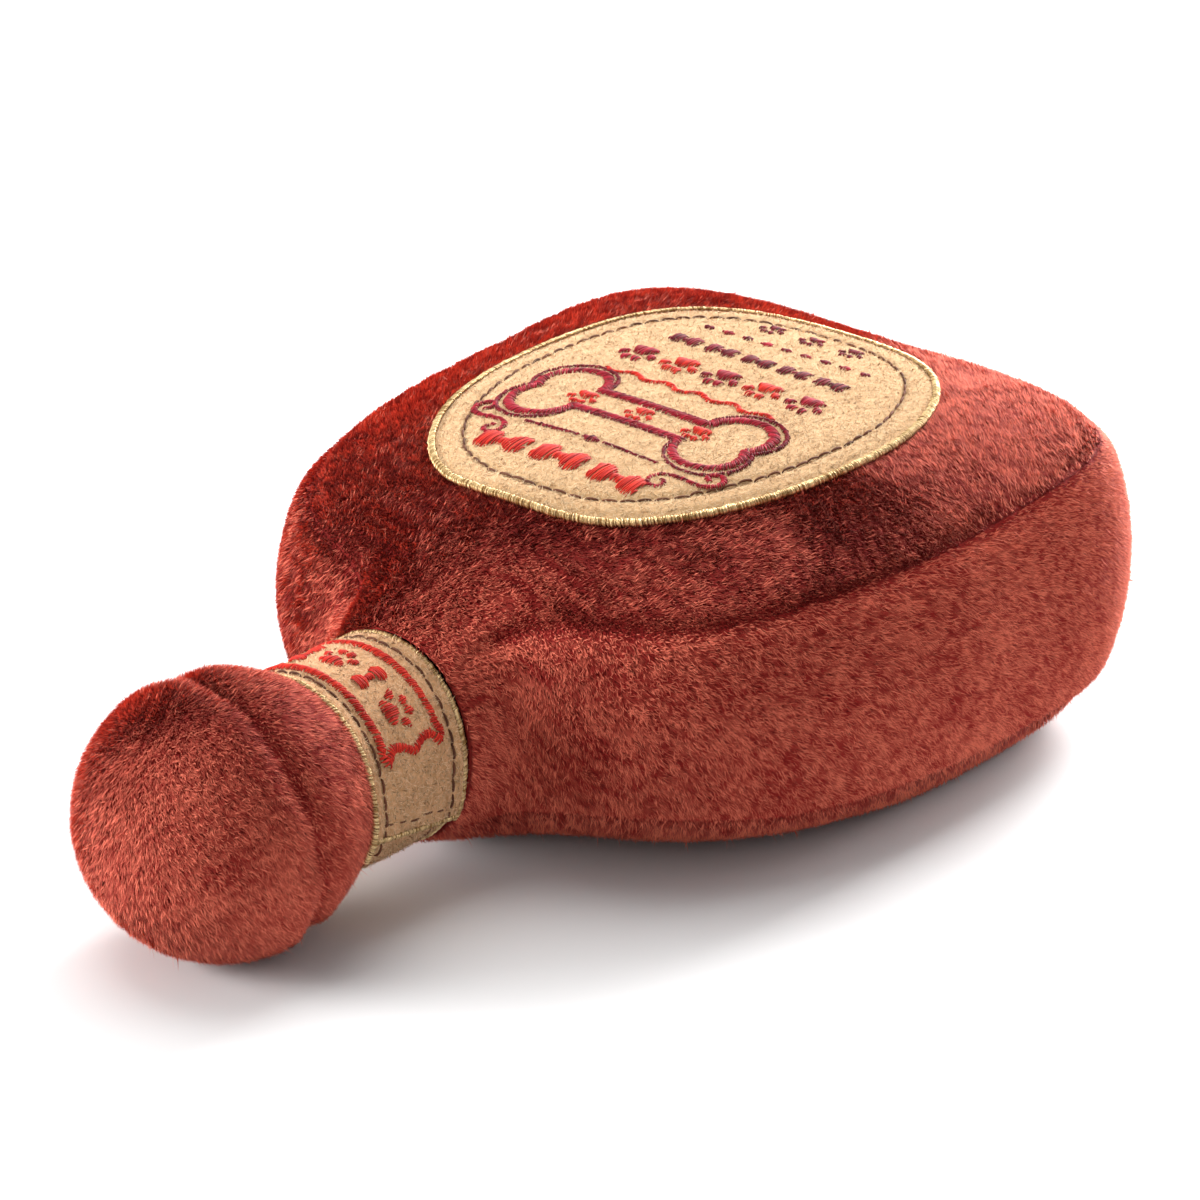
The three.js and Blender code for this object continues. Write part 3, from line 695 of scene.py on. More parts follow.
def grow_pile(
    name, points, quads, normals, nap, seam, shade, keep_out=nowhere, density=pile_density, wisps=1,
):
    """One piece's pile: it leans with the nap, in soft tufts, and parts at the seam, where it is shorter
    and painted darker as painted shade in the seam's furrow.
    """
    roots, up, lay = scatter(points, quads, normals, np.column_stack([nap, seam]), density)
    kept = ~keep_out(roots)
    roots, up, lay = roots[kept], up[kept], lay[kept]
    count = len(roots)
    seam_parting_and_shade = np.exp(-((lay[:, 3] / seam_parting_and_shade_width) ** 2))
    lay = unit(lay[:, :3] - up * (lay[:, :3] * up).sum(1, keepdims=True))
    aside = np.cross(up, lay)
    # Tufts are longer along the nap than across it
    streaked = roots - lay * (roots * lay).sum(1, keepdims=True) * streak_stretch
    wide = drift(roots, 11 * MM)
    tuft = drift(streaked, 1.9 * MM)
    fine = drift(streaked, 0.7 * MM)
    turn = 0.3 * wide[:, :1] + 0.4 * tuft[:, :1] + 0.45 * fine[:, :1]
    turn = turn + random.normal(0, 0.28, (count, 1))
    lean = pile_lean + 0.1 * wide[:, 1:2] + 0.14 * tuft[:, 1:2]
    lean = lean + random.normal(0, 0.08, (count, 1))
    stray = random.uniform(0, 1, (count, 1)) < stray_share
    wisp = random.uniform(0, 1, count) < wisps * wisp_share * (1 + 1.6 * fine[:, 1])
    turn = turn + wisp[:, None] * random.normal(0, 0.4, (count, 1))
    lean = np.where(stray, lean - 0.4, lean - 0.18 * wisp[:, None])
    ways = unit((lay * np.cos(turn) + aside * np.sin(turn)) * np.sin(lean) + up * np.cos(lean))
    lengths = pile_length * (1 + 0.1 * tuft[:, 2] + random.normal(0, 0.1, count))
    lengths = np.where(stray[:, 0], lengths * stray_stretch, lengths)
    lengths = lengths * (1 - 0.4 * seam_parting_and_shade)
    shades = 0.2 + 0.19 * wide[:, 2] + 0.24 * tuft[:, 2] + 0.4 * fine[:, 2]
    shades = shades + random.normal(0, 0.08, count)
    # Near the seam the pile is painted darker: painted shade in the seam's furrow
    shades = shades + 0.65 * wisp - 0.3 * seam_parting_and_shade
    shades = shades + shade(roots)
    shades = np.where(stray[:, 0], 0.98, shades)
    widths = (pile_width + (wisp_width - pile_width) * wisp)[:, None]
    pile = strands(name, roots, up, ways, lengths, widths, shades, plush_pile)
    lift_off_floor(pile)
    squeeze_with_toy(pile)


def lift_off_floor(piece):
    """Nothing hangs into the floor: what would is pressed flat on it."""
    place = np.empty(len(piece.data.vertices) * 3, np.float32)
    piece.data.vertices.foreach_get("co", place)
    place[2::3] = np.maximum(place[2::3], floor_gap)
    piece.data.vertices.foreach_set("co", place)


def close_middle(points, quads, count):
    """Adds the middle point of a panel's or a dome's first ring, and the faces round it."""
    middle = points[:count].mean(0)
    i = np.arange(count)
    # A fan meets the ring's first quad along its edge in the opposite direction
    onwards = quads[0, 1] == (quads[0, 0] + 1) % count and quads[0, 0] < count
    a, b = (i + 1, i) if onwards else (i, i + 1)
    fan = np.stack([a % count, b % count, np.full(count, len(points))], 1)
    corners = np.concatenate([quads.ravel(), fan.ravel()])
    sides = np.concatenate([np.full(len(quads), 4), np.full(count, 3)])
    return np.vstack([points, middle]), corners, sides


def sew_cover(name, node, points, corners, sides):
    """A stuffed piece of the cover: its cloth, with the pile's roots on its outer side."""
    piece = new_piece(name, points, corners, sides, plush_backing)
    lift_off_floor(piece)
    soften(piece)
    give_thickness(piece, cloth_thickness)
    squeeze_with_toy(piece)
    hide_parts(node)


label_from_neck = 29 * MM
label_length = 96 * MM
label_half_widths = (37.5 * MM, 41.5 * MM)
label_squareness = 2.3
pressed_margin = 1.2 * MM
label_middle = neck_root + label_from_neck + label_length / 2


def label_half_width(along):
    """The label is a little narrower at the neck's end, -1, than at the base's end, 1."""
    return mix(label_half_widths[0], label_half_widths[1], (along + 1) / 2)


def under_label(points):
    """Places well under the label, where the pile is pressed flat out of sight."""
    along = (points[:, 0] - label_middle) / (label_length / 2 - pressed_margin)
    across = points[:, 1] / (label_half_width(along) - pressed_margin)
    return np.abs(along) ** label_squareness + np.abs(across) ** label_squareness < 1


band_wander = (neck_root - 0.1 * MM, 1.2 * MM, math.radians(20))


def band_high(angle):
    """The neck band's edge on the body's side, which wanders a little along the neck."""
    middle, reach, turn = band_wander
    return middle + reach * np.cos(angle + turn)


def at_neck_band(points):
    """Places under the neck band, whose edge holds the pile down."""
    angle = np.arctan2(-points[:, 1], points[:, 2] - axis_height)
    return points[:, 0] < band_high(angle) - 0.1 * MM


def front_keep_out(points):
    return under_label(points) | at_neck_band(points)


def near_side_share(points):
    return smooth((22 * MM - points[:, 1]) / (40 * MM))


def off_squared(value, middle, reach):
    """How far a length lies from a middle, counted in reaches and squared."""
    return ((value - middle * MM) / (reach * MM)) ** 2


def front_painted_light(points):
    """The pile is painted darker between the neck and the label, a painted shade, and painted lighter on
    the near side by the base and where the nap turns, as painted light.
    """
    x, y = points[:, 0], points[:, 1]
    # The dark patch near the neck is painted shade; the lighter parts towards the base and at the nap's
    # turn are painted light
    near_neck = np.exp(-off_squared(x, -4, 30) - off_squared(y, -12, 38))
    painted_light_towards_base = smooth((x - 35 * MM) / (55 * MM))
    painted_light_at_turn = np.exp(-off_squared(x, 38, 24))
    near_side = near_side_share(points)
    return 0.05 + (0.17 * painted_light_towards_base + 0.12 * painted_light_at_turn) * near_side - 0.16 * near_neck


# The back panel's pile, which faces down, is painted a little lighter than the front's and the gusset's:
# painted light
def back_painted_light(points):
    return 0.15


def front_nap(points):
    """The nap lies to the near side, and turns to the far side past the middle of the label."""
    turned = (smooth(points[:, 0] / (70 * MM)) * near_side_share(points))[:, None]
    return mix(np.array((-0.25, -1, 0)), np.array((-0.6, 0.8, 0)), turned)


def back_nap(points):
    """The nap lies to the near side, and turns in from the seam."""
    inwards = np.array((middle_x, 0, 0)) - points
    share = np.repeat(panel_shares, len(points) // len(panel_shares))[:, None]
    return mix(np.array((0.3, -1, 0)), unit(inwards * (1, 1, 0)), smooth((share - 0.7) / 0.25))


panels = (
    (
        "front_cover", "front_panel", front_rows, front_quads, front_normals, front_joint,
        front_nap, front_painted_light, front_keep_out, pile_density,
    ),
    (
        "back_cover", "back_panel", back_rows, back_quads, back_normals, back_joint,
        back_nap, back_painted_light, at_neck_band, hidden_pile_density,
    ),
)
for name, node, rows, quads, normals, joint, nap, shade, keep_out, density in panels:
    points, seam = panel_cloth(rows, normals, joint)
    closed, corners, sides = close_middle(points, quads, rows.shape[1])
    sew_cover(name, node, closed, corners, sides)
    near_half = points[quads].mean(1)[:, 1] < 0
    for part, chosen in (("near", near_half), ("far", ~near_half)):
        grow_pile(
            f"{name}_pile_{part}", points, quads[chosen], normals.reshape(-1, 3), nap(points), seam,
            shade, keep_out, density)

gusset_points, gusset_seam = gusset_cloth()
gusset_sides = np.full(len(gusset_quads), 4)
sew_cover("gusset_cover", "side_gusset", gusset_points, gusset_quads.ravel(), gusset_sides)
strip_way = np.stack([-columns["out_y"], columns["out_x"], np.zeros_like(columns["x"])], 1)
gusset_lean = mix(0.95, 0.2, smooth((columns["x"] - 60 * MM) / (35 * MM)))[:, None]
gusset_nap = np.tile(gusset_lean * strip_way + (0, 0, -0.8), (len(gusset_shares), 1))
gusset_middles = gusset_points[gusset_quads].mean(1)
near_side, at_neck = gusset_middles[:, 1] < 0, gusset_middles[:, 0] < 30 * MM


def gusset_painted_light(points):
    """The pile is painted lighter at the two corners by the base: painted light on the corners."""
    painted_light_corner = smooth((np.abs(points[:, 1]) - 22 * MM) / (26 * MM))
    return 0.03 + 0.5 * painted_light_corner * smooth((points[:, 0] - 78 * MM) / (22 * MM))


gusset_parts = {
    "near_neck": near_side & at_neck,
    "near_base": near_side & ~at_neck,
    "far_neck": ~near_side & at_neck,
    "far_base": ~near_side & ~at_neck,
}
for part, chosen in gusset_parts.items():
    grow_pile(
        f"gusset_pile_{part}", gusset_points, gusset_quads[chosen], gusset_normals.reshape(-1, 3),
        gusset_nap, gusset_seam, gusset_painted_light, at_neck_band)

# Stopper ball
# Two pieces of the same plush, a deep dome and a shallow ring towards the neck, stuffed hard.
# Their seam runs round the ball a little askew.
ball_radius = 25.1 * MM
ball_stand_off = 23.3 * MM
ball_depth = math.sqrt(25.1**2 - 16.9**2) * MM
ball_centre = np.array((neck_root - ball_stand_off - ball_depth, 0, axis_height))
ball_opening_radius = 16.4 * MM
ball_seam_offset = 3.9 * MM
ball_seam_dip = 1.5 * MM
ball_seam_dip_width = 2.6 * MM
ball_pucker = 0.35 * MM
ball_neck_push = 1 * MM
ball_neck_push_reach = 6 * MM
ball_seam_axis = unit(np.array((0.968, -0.171, 0.188)))
neck_axis = np.array((1.0, 0, 0))


def ball_piece(towards_neck):
    """A grid over one piece of the ball, from its middle or its neck opening to the seam."""
    seam = math.acos(ball_seam_offset / ball_radius)
    opening = math.asin(ball_opening_radius / ball_radius)
    if towards_neck:
        # The ring turns from the neck's axis to the seam's, so that it meets the band all round
        angles = np.linspace(opening, seam, 22)
        askew = smooth(np.linspace(0, 1, 22))[:, None, None]
    else:
        angles = math.pi - np.linspace(0.03, math.pi - seam, 40)
        askew = np.ones((40, 1, 1))
    turns = np.linspace(0, 2 * math.pi, 144, endpoint=False)
    axes = unit(mix(neck_axis, ball_seam_axis, askew))
    aside = unit(np.cross(axes, (0, 0, 1)))
    up = np.cross(aside, axes)
    angle, turn = np.meshgrid(angles, turns, indexing="ij")
    way = (
        np.cos(angle)[..., None] * axes
        + (np.sin(angle) * np.cos(turn))[..., None] * aside
        + (np.sin(angle) * np.sin(turn))[..., None] * up
    )
    away = (angle - seam) * ball_radius / ball_seam_dip_width
    pull = ball_pucker * np.cos(9 * turn + 1.3 * np.sin(3 * turn)) * np.exp(-(away / 2.2) ** 2)
    from_opening = (angle - opening) * ball_radius / ball_neck_push_reach
    pushed = ball_neck_push * np.exp(-(from_opening ** 2))
    radius = ball_radius - pile_height - ball_seam_dip * np.exp(-away * away) - pull + pushed
    points = (ball_centre + way * radius[..., None]).reshape(-1, 3)
    quads, normals = faced_outwards(points, grid_quads(len(angles), len(turns), True), ball_centre)
    return points, quads, normals, len(turns), np.abs(angle - seam).ravel() * ball_radius


# The ball's pile is painted a little lighter than the body's, though it is the same plush: painted light
def ball_painted_light(points):
    return 0.18


for name, towards_neck, node in (("ball_dome", False, "ball_front"), ("ball_ring", True, "ball_back")):
    points, quads, normals, turns, seam = ball_piece(towards_neck)
    if towards_neck:
        shell, corners, sides = points, quads.ravel(), np.full(len(quads), 4)
    else:
        shell, corners, sides = close_middle(points, quads, turns)
    sew_cover(name, node, shell, corners, sides)
    nap = np.tile((0.18, -0.69, -0.7), (len(points), 1))
    grow_pile(f"{name}_pile", points, quads, normals, nap, seam, ball_painted_light, wisps=0.6)

# Label
# A rounded patch of cream felt, laid on the front panel and sewn down round its edge with close
# gold satin stitches. A line of running stitches a little way inside draws it in.
label_lift = -0.65 * MM
label_felt = 1.1 * MM
label_top = label_lift + label_felt
label_tuck = 1 * MM
label_stitch_inset = 6 * MM
stitch_sink = 0.45 * MM
stitch_sink_width = 0.8 * MM


def on_label(plan, lift):
    """Points over a plan of the label, at a lift from its felt's top, and the way up there."""
    x, y = plan[..., 0], plan[..., 1]
    step = field_step
    slope_x = (front_height(x + step, y) - front_height(x - step, y)) / (2 * step)
    slope_y = (front_height(x, y + step) - front_height(x, y - step)) / (2 * step)
    up = unit(np.stack([-slope_x, -slope_y, np.ones_like(x)], -1))
    lift = np.asarray(lift)[..., None] + label_top
    return np.stack([x, y, front_height(x, y)], -1) + up * lift, up


def label_ring(turn, inset):
    """The plan of a line round the label, at a distance inside its outline."""
    reach = squared_reach(turn, label_squareness)
    along, across = np.cos(turn) * reach, np.sin(turn) * reach
    return np.stack([
        label_middle + (label_length / 2 - inset) * along,
        (label_half_width(along) - inset) * across,
    ], -1)


def felt_sink(inset):
    """How far a line of stitches draws the felt in, and the sewn edge presses it."""
    pressed = 0.35 * MM * (1 - smooth((inset - 1.6 * MM) / (1.4 * MM)))
    return pressed + stitch_sink * np.exp(-(((inset - label_stitch_inset) / stitch_sink_width) ** 2))


felt = cloth_material(
    "cream_felt", (0.48, 0.26, 0.1), (0.9, 0.59, 0.31), 1.2 * MM, 0.4 * MM, 0.25 * MM, 0.95, sheen=0.2)
felt_fibre = strand_material(
    "cream_felt_fibre", (0.6, 0.34, 0.14), (0.26, 0.13, 0.05), (0.93, 0.7, 0.42), 0.4, 0.9, sheen=0.2)
insets = np.linspace(label_tuck, 10 * MM, 26)
shares = np.concatenate([np.linspace(0.03, 0.9, 24), np.linspace(0.93, 1, 4)[:-1]])
turns = np.linspace(0, 2 * math.pi, 288, endpoint=False)
inner_ring = label_ring(turns, insets[-1])
label_heart = np.array((label_middle, 0))
plans = [mix(label_heart, inner_ring, share) for share in shares]
plans += [label_ring(turns, inset) for inset in insets[::-1]]
sinks = np.concatenate([np.zeros(len(shares)), felt_sink(insets[::-1])])
plans = np.array(plans)
flat_plans = np.concatenate([plans.reshape(-1, 2), np.zeros((plans[..., 0].size, 1))], 1)
felt_wave = 0.18 * MM * drift(flat_plans, 16 * MM)
rows, _ = on_label(plans, felt_wave[:, 0].reshape(plans.shape[:2]) - sinks[:, None])
label_points = rows.reshape(-1, 3)
label_quads = grid_quads(len(rows), len(turns), True)
label_quads, label_normals = faced_outwards(label_points, label_quads, (label_middle, 0, 0))
closed, corners, sides = close_middle(label_points, label_quads, len(turns))
label = new_piece("label", closed, corners, sides, felt)
soften(label)
give_thickness(label, label_felt - 0.1 * MM)
squeeze_with_toy(label)
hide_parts("label_patch")


fuzz_density = 9 / MM**2
fuzz_length = 0.95 * MM
fuzz_width = 0.2 * MM
fuzz_depth = 0.05 * MM
dark_fibre_share = 0.2


def raise_fuzz(name, points, quads, normals, material):
    """The felt's loose fibres, which lie every way, nearly flat."""
    roots, up, _ = scatter(points, quads, normals, np.zeros_like(points), fuzz_density)
    count = len(roots)
    ways = random.normal(0, 1, (count, 3))
    ways = unit(ways - up * (ways * up).sum(1, keepdims=True))
    lean = random.normal(0.3, 0.18, (count, 1))
    ways = unit(ways * np.cos(lean) + up * np.abs(np.sin(lean)))
    lengths = fuzz_length * (1 + random.normal(0, 0.25, count))
    patch = drift(roots, 1.2 * MM)[:, 0] + drift(roots, 0.6 * MM)[:, 1]
    dark = random.uniform(0, 1, count) < dark_fibre_share
    shades = 0.78 + 0.22 * patch + random.normal(0, 0.16, count) - 0.55 * dark
    roots = roots - up * fuzz_depth
    fuzz = strands(name, roots, up, ways, lengths, fuzz_width, shades, material, 0.2)
    squeeze_with_toy(fuzz)


raise_fuzz("label_fuzz", label_points, label_quads, label_normals, felt_fibre)


# The sewn edge's threads arch over the cut edge of the felt: insets from it, and lifts over the felt
edge_profile = np.array((
    (1.25, -0.16), (1.05, 0.12), (0.75, 0.22), (0.3, 0.06), (0.03, -0.3), (0.1, -0.95),
)) * MM
edge_pitch = 0.29 * MM
edge_slant = 0.45 * MM
edge_thread_radius = 0.15 * MM
gold_thread = strand_material(
    "gold_thread", (0.13, 0.065, 0.016), (0.33, 0.17, 0.04), (0.98, 0.73, 0.37), 0.35, 0.32,
    metallic=0.55, gloss=0.6)


def bind_edge(name, plan_at, place, run, node=None):
    """Satin stitches over an edge: plan_at gives the plan at a run along it and an inset."""
    runs = np.arange(0, run, edge_pitch)
    count = len(runs)
    slants = np.linspace(-0.5, 0.5, len(edge_profile)) * edge_slant
    shift = random.normal(0, 0.05 * MM, (count, 1))
    inset = edge_profile[:, 0] + random.normal(0, 0.07 * MM, (count, 1))
    lift = edge_profile[:, 1] + random.normal(0, 0.04 * MM, (count, 1))
    paths, ups = place(plan_at(runs[:, None] + slants + shift, inset), lift)
    patches = drift(np.stack([runs, 0 * runs, 0 * runs], 1), 5 * MM)[:, 0]
    shades = 0.55 + 0.22 * patches + random.normal(0, 0.36, count)
    edge = lay_threads(name, paths, ups, edge_thread_radius, shades, gold_thread)
    squeeze_with_toy(edge)
    if node:
        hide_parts(node)


def lay_threads(name, paths, ups, radius, shades, material, sides=5):
    """Threads as closed tubes, one along each path of points, thinner where they enter the cloth."""
    count, stations = paths.shape[:2]
    ahead = unit(np.gradient(paths, axis=1))
    aside = unit(np.cross(ahead, ups))
    rise = np.cross(aside, ahead)
    share = np.linspace(0, 1, stations)
    taper = radius * (0.5 + 0.5 * np.sin(math.pi * share) ** 0.4)
    turn = np.arange(sides) * 2 * math.pi / sides
    ring = np.cos(turn)[:, None] * aside[:, :, None] + np.sin(turn)[:, None] * rise[:, :, None]
    points = paths[:, :, None] + ring * taper[:, None, None]
    i = np.arange(sides)
    j = (i + 1) % sides
    s = np.arange(stations - 1)[:, None] * sides
    wall = np.stack([s + i, s + sides + i, s + sides + j, s + j], 2).ravel()
    ends = np.concatenate([i, (stations - 1) * sides + i[::-1]])
    first = np.arange(count)[:, None] * stations * sides
    corners = np.concatenate([(first + wall).ravel(), (first + ends).ravel()])
    face_sides = np.concatenate([np.full(count * len(wall) // 4, 4), np.full(count * 2, sides)])
    piece = new_piece(name, points.reshape(-1, 3), corners, face_sides, material)
    soften(piece)
    shade = np.clip(shades, 0.03, 0.97)[corners // (stations * sides)]
    # Both ends of a thread take the darker root colour, a painted shade where the thread goes into the
    # cloth
    up_the_thread = np.sin(math.pi * share)[corners % (stations * sides) // sides]
    write_map(piece, shade + 0.01 * np.cos(turn)[corners % sides], 0.02 + 0.96 * up_the_thread)
    return piece


def runs_round(path):
    """How far along a path each of its points lies."""
    steps = np.linalg.norm(np.diff(path, axis=0), axis=1)
    return np.concatenate([[0], np.cumsum(steps)])


full_turn = np.linspace(0, 2 * math.pi, 1441)
outline_run = runs_round(label_ring(full_turn, 0))


def label_at(run, inset):
    """The plan at a run round the label's outline and an inset from it."""
    turn = np.interp(run, outline_run, full_turn, period=outline_run[-1] + 1e-9)
    return label_ring(np.asarray(turn) % (2 * math.pi), inset)


bind_edge("label_binding", label_at, on_label, outline_run[-1], "label_edge")

# Running stitches
# A stout dark brown thread, run in and out of the felt by machine some millimetres inside the sewn
# edge. Each stitch pulls down at both its ends and stands up between them.
brown_thread = strand_material(
    "brown_thread", (0.04, 0.014, 0.007), (0.07, 0.025, 0.013), (0.22, 0.085, 0.045), 0.3, 0.7, gloss=0.2)
stitch_length = 2.9 * MM
stitch_gap = 0.16 * MM
stitch_rise = 0.52 * MM
stitch_bite = 0.12 * MM
stitch_radius = 0.24 * MM


def running_stitches(name, line_at, place, run):
    """Even stitches along a line; each dips into the felt at both ends."""
    count = round(run / (stitch_length + stitch_gap))
    starts = np.linspace(0, run, count, endpoint=False) + random.normal(0, 0.12 * MM, count)
    share = np.linspace(0, 1, 9)
    lift = stitch_rise * np.sin(math.pi * share) ** 0.4 - stitch_sink - stitch_bite
    sway = random.normal(0, 0.12 * MM, (count, 1))
    sway = sway + random.normal(0, 0.15 * MM, (count, 1)) * (share - 0.5)
    lengths = stitch_length * (1 + random.normal(0, 0.05, (count, 1)))
    plan = line_at(starts[:, None] + lengths * share, sway)
    paths, ups = place(plan, np.broadcast_to(lift, plan.shape[:2]))
    shades = random.uniform(0.1, 0.8, count)
    stitches = lay_threads(name, paths, ups, stitch_radius, shades, brown_thread)
    squeeze_with_toy(stitches)


stitch_run = runs_round(label_ring(full_turn, label_stitch_inset))


def label_stitch_line(run, sway):
    turn = np.interp(run % stitch_run[-1], stitch_run, full_turn)
    return label_ring(turn, label_stitch_inset + sway)


running_stitches("label_stitches", label_stitch_line, on_label, stitch_run[-1])

# Label embroidery
# Machine satin stitch in three reds, sewn through the felt before it is laid on. Bones, paws,
# rules and scrolls are each a row of raised threads; measures here are millimetres on the felt.
satin_pitch = 0.37
satin_radius = 0.17 * MM
bright_red = strand_material(
    "bright_red_thread", (0.22, 0.006, 0.004), (0.42, 0.01, 0.007), (0.86, 0.048, 0.022), 0.3, 0.6)
crimson = strand_material(
    "crimson_thread", (0.09, 0.002, 0.006), (0.17, 0.004, 0.01), (0.52, 0.017, 0.04), 0.3, 0.6)
maroon = strand_material(
    "maroon_thread", (0.04, 0.003, 0.005), (0.09, 0.005, 0.01), (0.32, 0.015, 0.03), 0.3, 0.6)


def oval(middle, radii, tilt=0):
    """An oval; each of these shapes is a test of which places on the felt lie inside it."""
    cos, sin = math.cos(math.radians(tilt)), math.sin(math.radians(tilt))

    def inside(a, b):
        a, b = a - middle[0], b - middle[1]
        return ((a * cos + b * sin) / radii[0]) ** 2 + ((b * cos - a * sin) / radii[1]) ** 2 < 1

    return inside


def pad(middle, size):
    """The big three-lobed pad of a paw."""

    def inside(a, b):
        a, b = (a - middle[0]) / (0.3 * size), (b - middle[1]) / (0.25 * size)
        return np.hypot(a, b) < 1 + 0.11 * np.cos(3 * (np.arctan2(b, a) - math.pi / 2))

    return inside


def bone(middle, length, width, tilt=0):
    cos, sin = math.cos(math.radians(tilt)), math.sin(math.radians(tilt))
    knob = 0.36 * width

    def inside(a, b):
        a, b = a - middle[0], b - middle[1]
        a, b = np.abs(a * cos + b * sin), np.abs(b * cos - a * sin)
        shaft = (a < length / 2 - knob) & (b < 0.24 * width)
        return shaft | (np.hypot(a - length / 2 + knob, b - 0.52 * width + 0.8 * knob) < knob)

    return inside


def diamond(middle, half_length, half_width):
    return lambda a, b: np.abs(a - middle[0]) / half_length + np.abs(b - middle[1]) / half_width < 1


def filled(inside, middle, reach, tilt=90):
    """The starts and ends of the threads that fill a shape side by side."""
    along = np.array((math.cos(math.radians(tilt)), math.sin(math.radians(tilt))))
    aside = np.array((-along[1], along[0]))
    rows = np.arange(-reach, reach, satin_pitch)
    steps = np.arange(-reach, reach, 0.08)
    places = np.array(middle) + rows[:, None, None] * aside + steps[:, None] * along
    hit = inside(places[..., 0], places[..., 1])
    change = np.diff(hit.astype(int), axis=1)
    first_row, first = np.nonzero(change == 1)
    last_row, last = np.nonzero(change == -1)
    starts, ends = places[first_row, first + 1], places[last_row, last]
    long_enough = np.linalg.norm(ends - starts, axis=1) > 0.35
    return starts[long_enough], ends[long_enough]


def satin_line(path, width, slant=0.3):
    """Short threads across a path, close together."""
    path = np.asarray(path, float)
    path = evenly(path, max(int(runs_round(path)[-1] / satin_pitch), 2))
    ahead = unit(np.gradient(path, axis=0))
    aside = np.stack([-ahead[:, 1], ahead[:, 0]], 1)
    half = width / 2 * (aside + slant * ahead)
    return path - half, path + half


def paw(middle, size):
    """A pad and four toes, each filled on its own."""
    a, b = middle
    parts = [filled(pad((a, b - 0.17 * size), size), (a, b - 0.17 * size), 0.4 * size)]
    for across, up, tilt in ((-0.37, 0.1, 20), (-0.135, 0.33, 7), (0.135, 0.33, -7), (0.37, 0.1, -20)):
        toe = (a + across * size, b + up * size)
        parts.append(filled(oval(toe, (0.105 * size, 0.16 * size), tilt), toe, 0.2 * size))
    return parts


def scroll(middle, size, mirror=1):
    """An S with curled ends, whose bend grows evenly towards each of them."""
    t = np.linspace(-1, 1, 241)
    turn = 6.2 * t * t
    path = np.cumsum(np.stack([np.cos(turn), np.sin(turn)], 1), axis=0)
    path = (path - path[120]) / np.abs(path - path[120]).max() * size / 2
    return path * (mirror, 1) + middle


def bone_path(middle, length, width):
    """A closed line just outside a bone."""
    knob = 0.36 * width
    turn = np.radians(np.linspace(180, -38, 40))
    reach = knob + 0.3
    arc = np.stack([
        length / 2 - knob + reach * np.cos(turn),
        0.52 * width - 0.8 * knob + reach * np.sin(turn),
    ], 1)
    right = np.vstack([arc, arc[::-1] * (1, -1)])
    loop = np.vstack([right, right[::-1] * (-1, 1)])
    return np.vstack([loop, loop[:1]]) + middle


def embroider(name, rows, place, material):
    """All the threads of one colour as one piece; longer ones stand higher."""
    starts = np.concatenate([start for start, _ in rows])
    ends = np.concatenate([end for _, end in rows])
    share = np.linspace(0, 1, 6)
    starts = starts + random.normal(0, 0.09, starts.shape)
    ends = ends + random.normal(0, 0.09, ends.shape)
    plan = mix(starts[:, None], ends[:, None], share[:, None])
    length = np.linalg.norm(ends - starts, axis=1)[:, None]
    lift = (0.4 + 0.07 * np.minimum(length, 5)) * MM * np.sin(math.pi * share) ** 0.5 - 0.12 * MM
    lift = lift + random.normal(0, 0.035 * MM, length.shape)
    paths, ups = place(plan, lift)
    shades = random.normal(0.5, 0.3, len(starts))
    threads = lay_threads(name, paths, ups, satin_radius, shades, material)
    squeeze_with_toy(threads)


def on_label_design(plan, lift):
    """A design's place on the label: across it, then up towards the neck, in millimetres."""
    return on_label(np.stack([label_middle - plan[..., 1] * MM, plan[..., 0] * MM], -1), lift)


wave = np.linspace(-19, 19, 160)
bright_rows = [satin_line(np.stack([wave, -2.2 + 0.8 * np.sin(wave * 0.83)], 1), 1.1)]
crimson_rows = [satin_line(bone_path((0, 11), 50, 17), 2.2, 0.5)]
crimson_rows += [satin_line(scroll((-22.5, 25.5), 11), 1.1)]
crimson_rows += [satin_line(scroll((22.5, 25.5), 11, -1), 1.1)]
maroon_rows = [
    satin_line(bone_path((0, 11), 53.6, 20.6), 0.8),
    satin_line([(-15, 24.3), (-3, 24.3)], 0.8),
    satin_line([(3, 24.3), (15, 24.3)], 0.8),
    filled(diamond((0, 24.3), 2.2, 1.5), (0, 24.3), 3),
]
for place_across in (-13, 0, 13):
    top_bone = (place_across, 32.5)
    bright_rows.append(filled(bone(top_bone, 11, 6), top_bone, 7))
    bright_rows += paw((place_across, 11), 6.4)
    maroon_rows += paw((place_across * 0.7, -37), 5.5)
for step in range(-2, 3):
    colour_rows = bright_rows if step % 2 else crimson_rows
    colour_rows += paw((step * 9.6, -11.5), 8.4)
    small_bone = (step * 8.4, -21.5)
    maroon_rows.append(filled(bone(small_bone, 6.6, 3.8), small_bone, 5))
for step in range(-4, 5):
    bead = (step * 4.5, -29.5)
    if step % 2:
        crimson_rows.append(filled(diamond(bead, 1.6, 1.3), bead, 2))
    else:
        maroon_rows.append(filled(oval(bead, (1, 1)), bead, 2))
embroider("label_bright_red", bright_rows, on_label_design, bright_red)
embroider("label_crimson", crimson_rows, on_label_design, crimson)
embroider("label_maroon", maroon_rows, on_label_design, maroon)

# Neck band
# A strip of the same felt wrapped once round the neck, over the seams that join the ball and the
# body to it. Its end is lapped and sewn down under the near side, and all its edges are bound.
band_radius = 18.4 * MM
band_felt = 1 * MM
band_low = neck_root - 24.4 * MM
band_lap = 14 / 360
lap_rise = 1 * MM
lap_tuck = 0.3 * MM
lap_turn = math.radians(122)
lap_slant = math.radians(10.3) / (19.5 * MM)
lap_corner = neck_root - 2.1 * MM
band_start = math.radians(116)
band_stitch_inset = 3.3 * MM


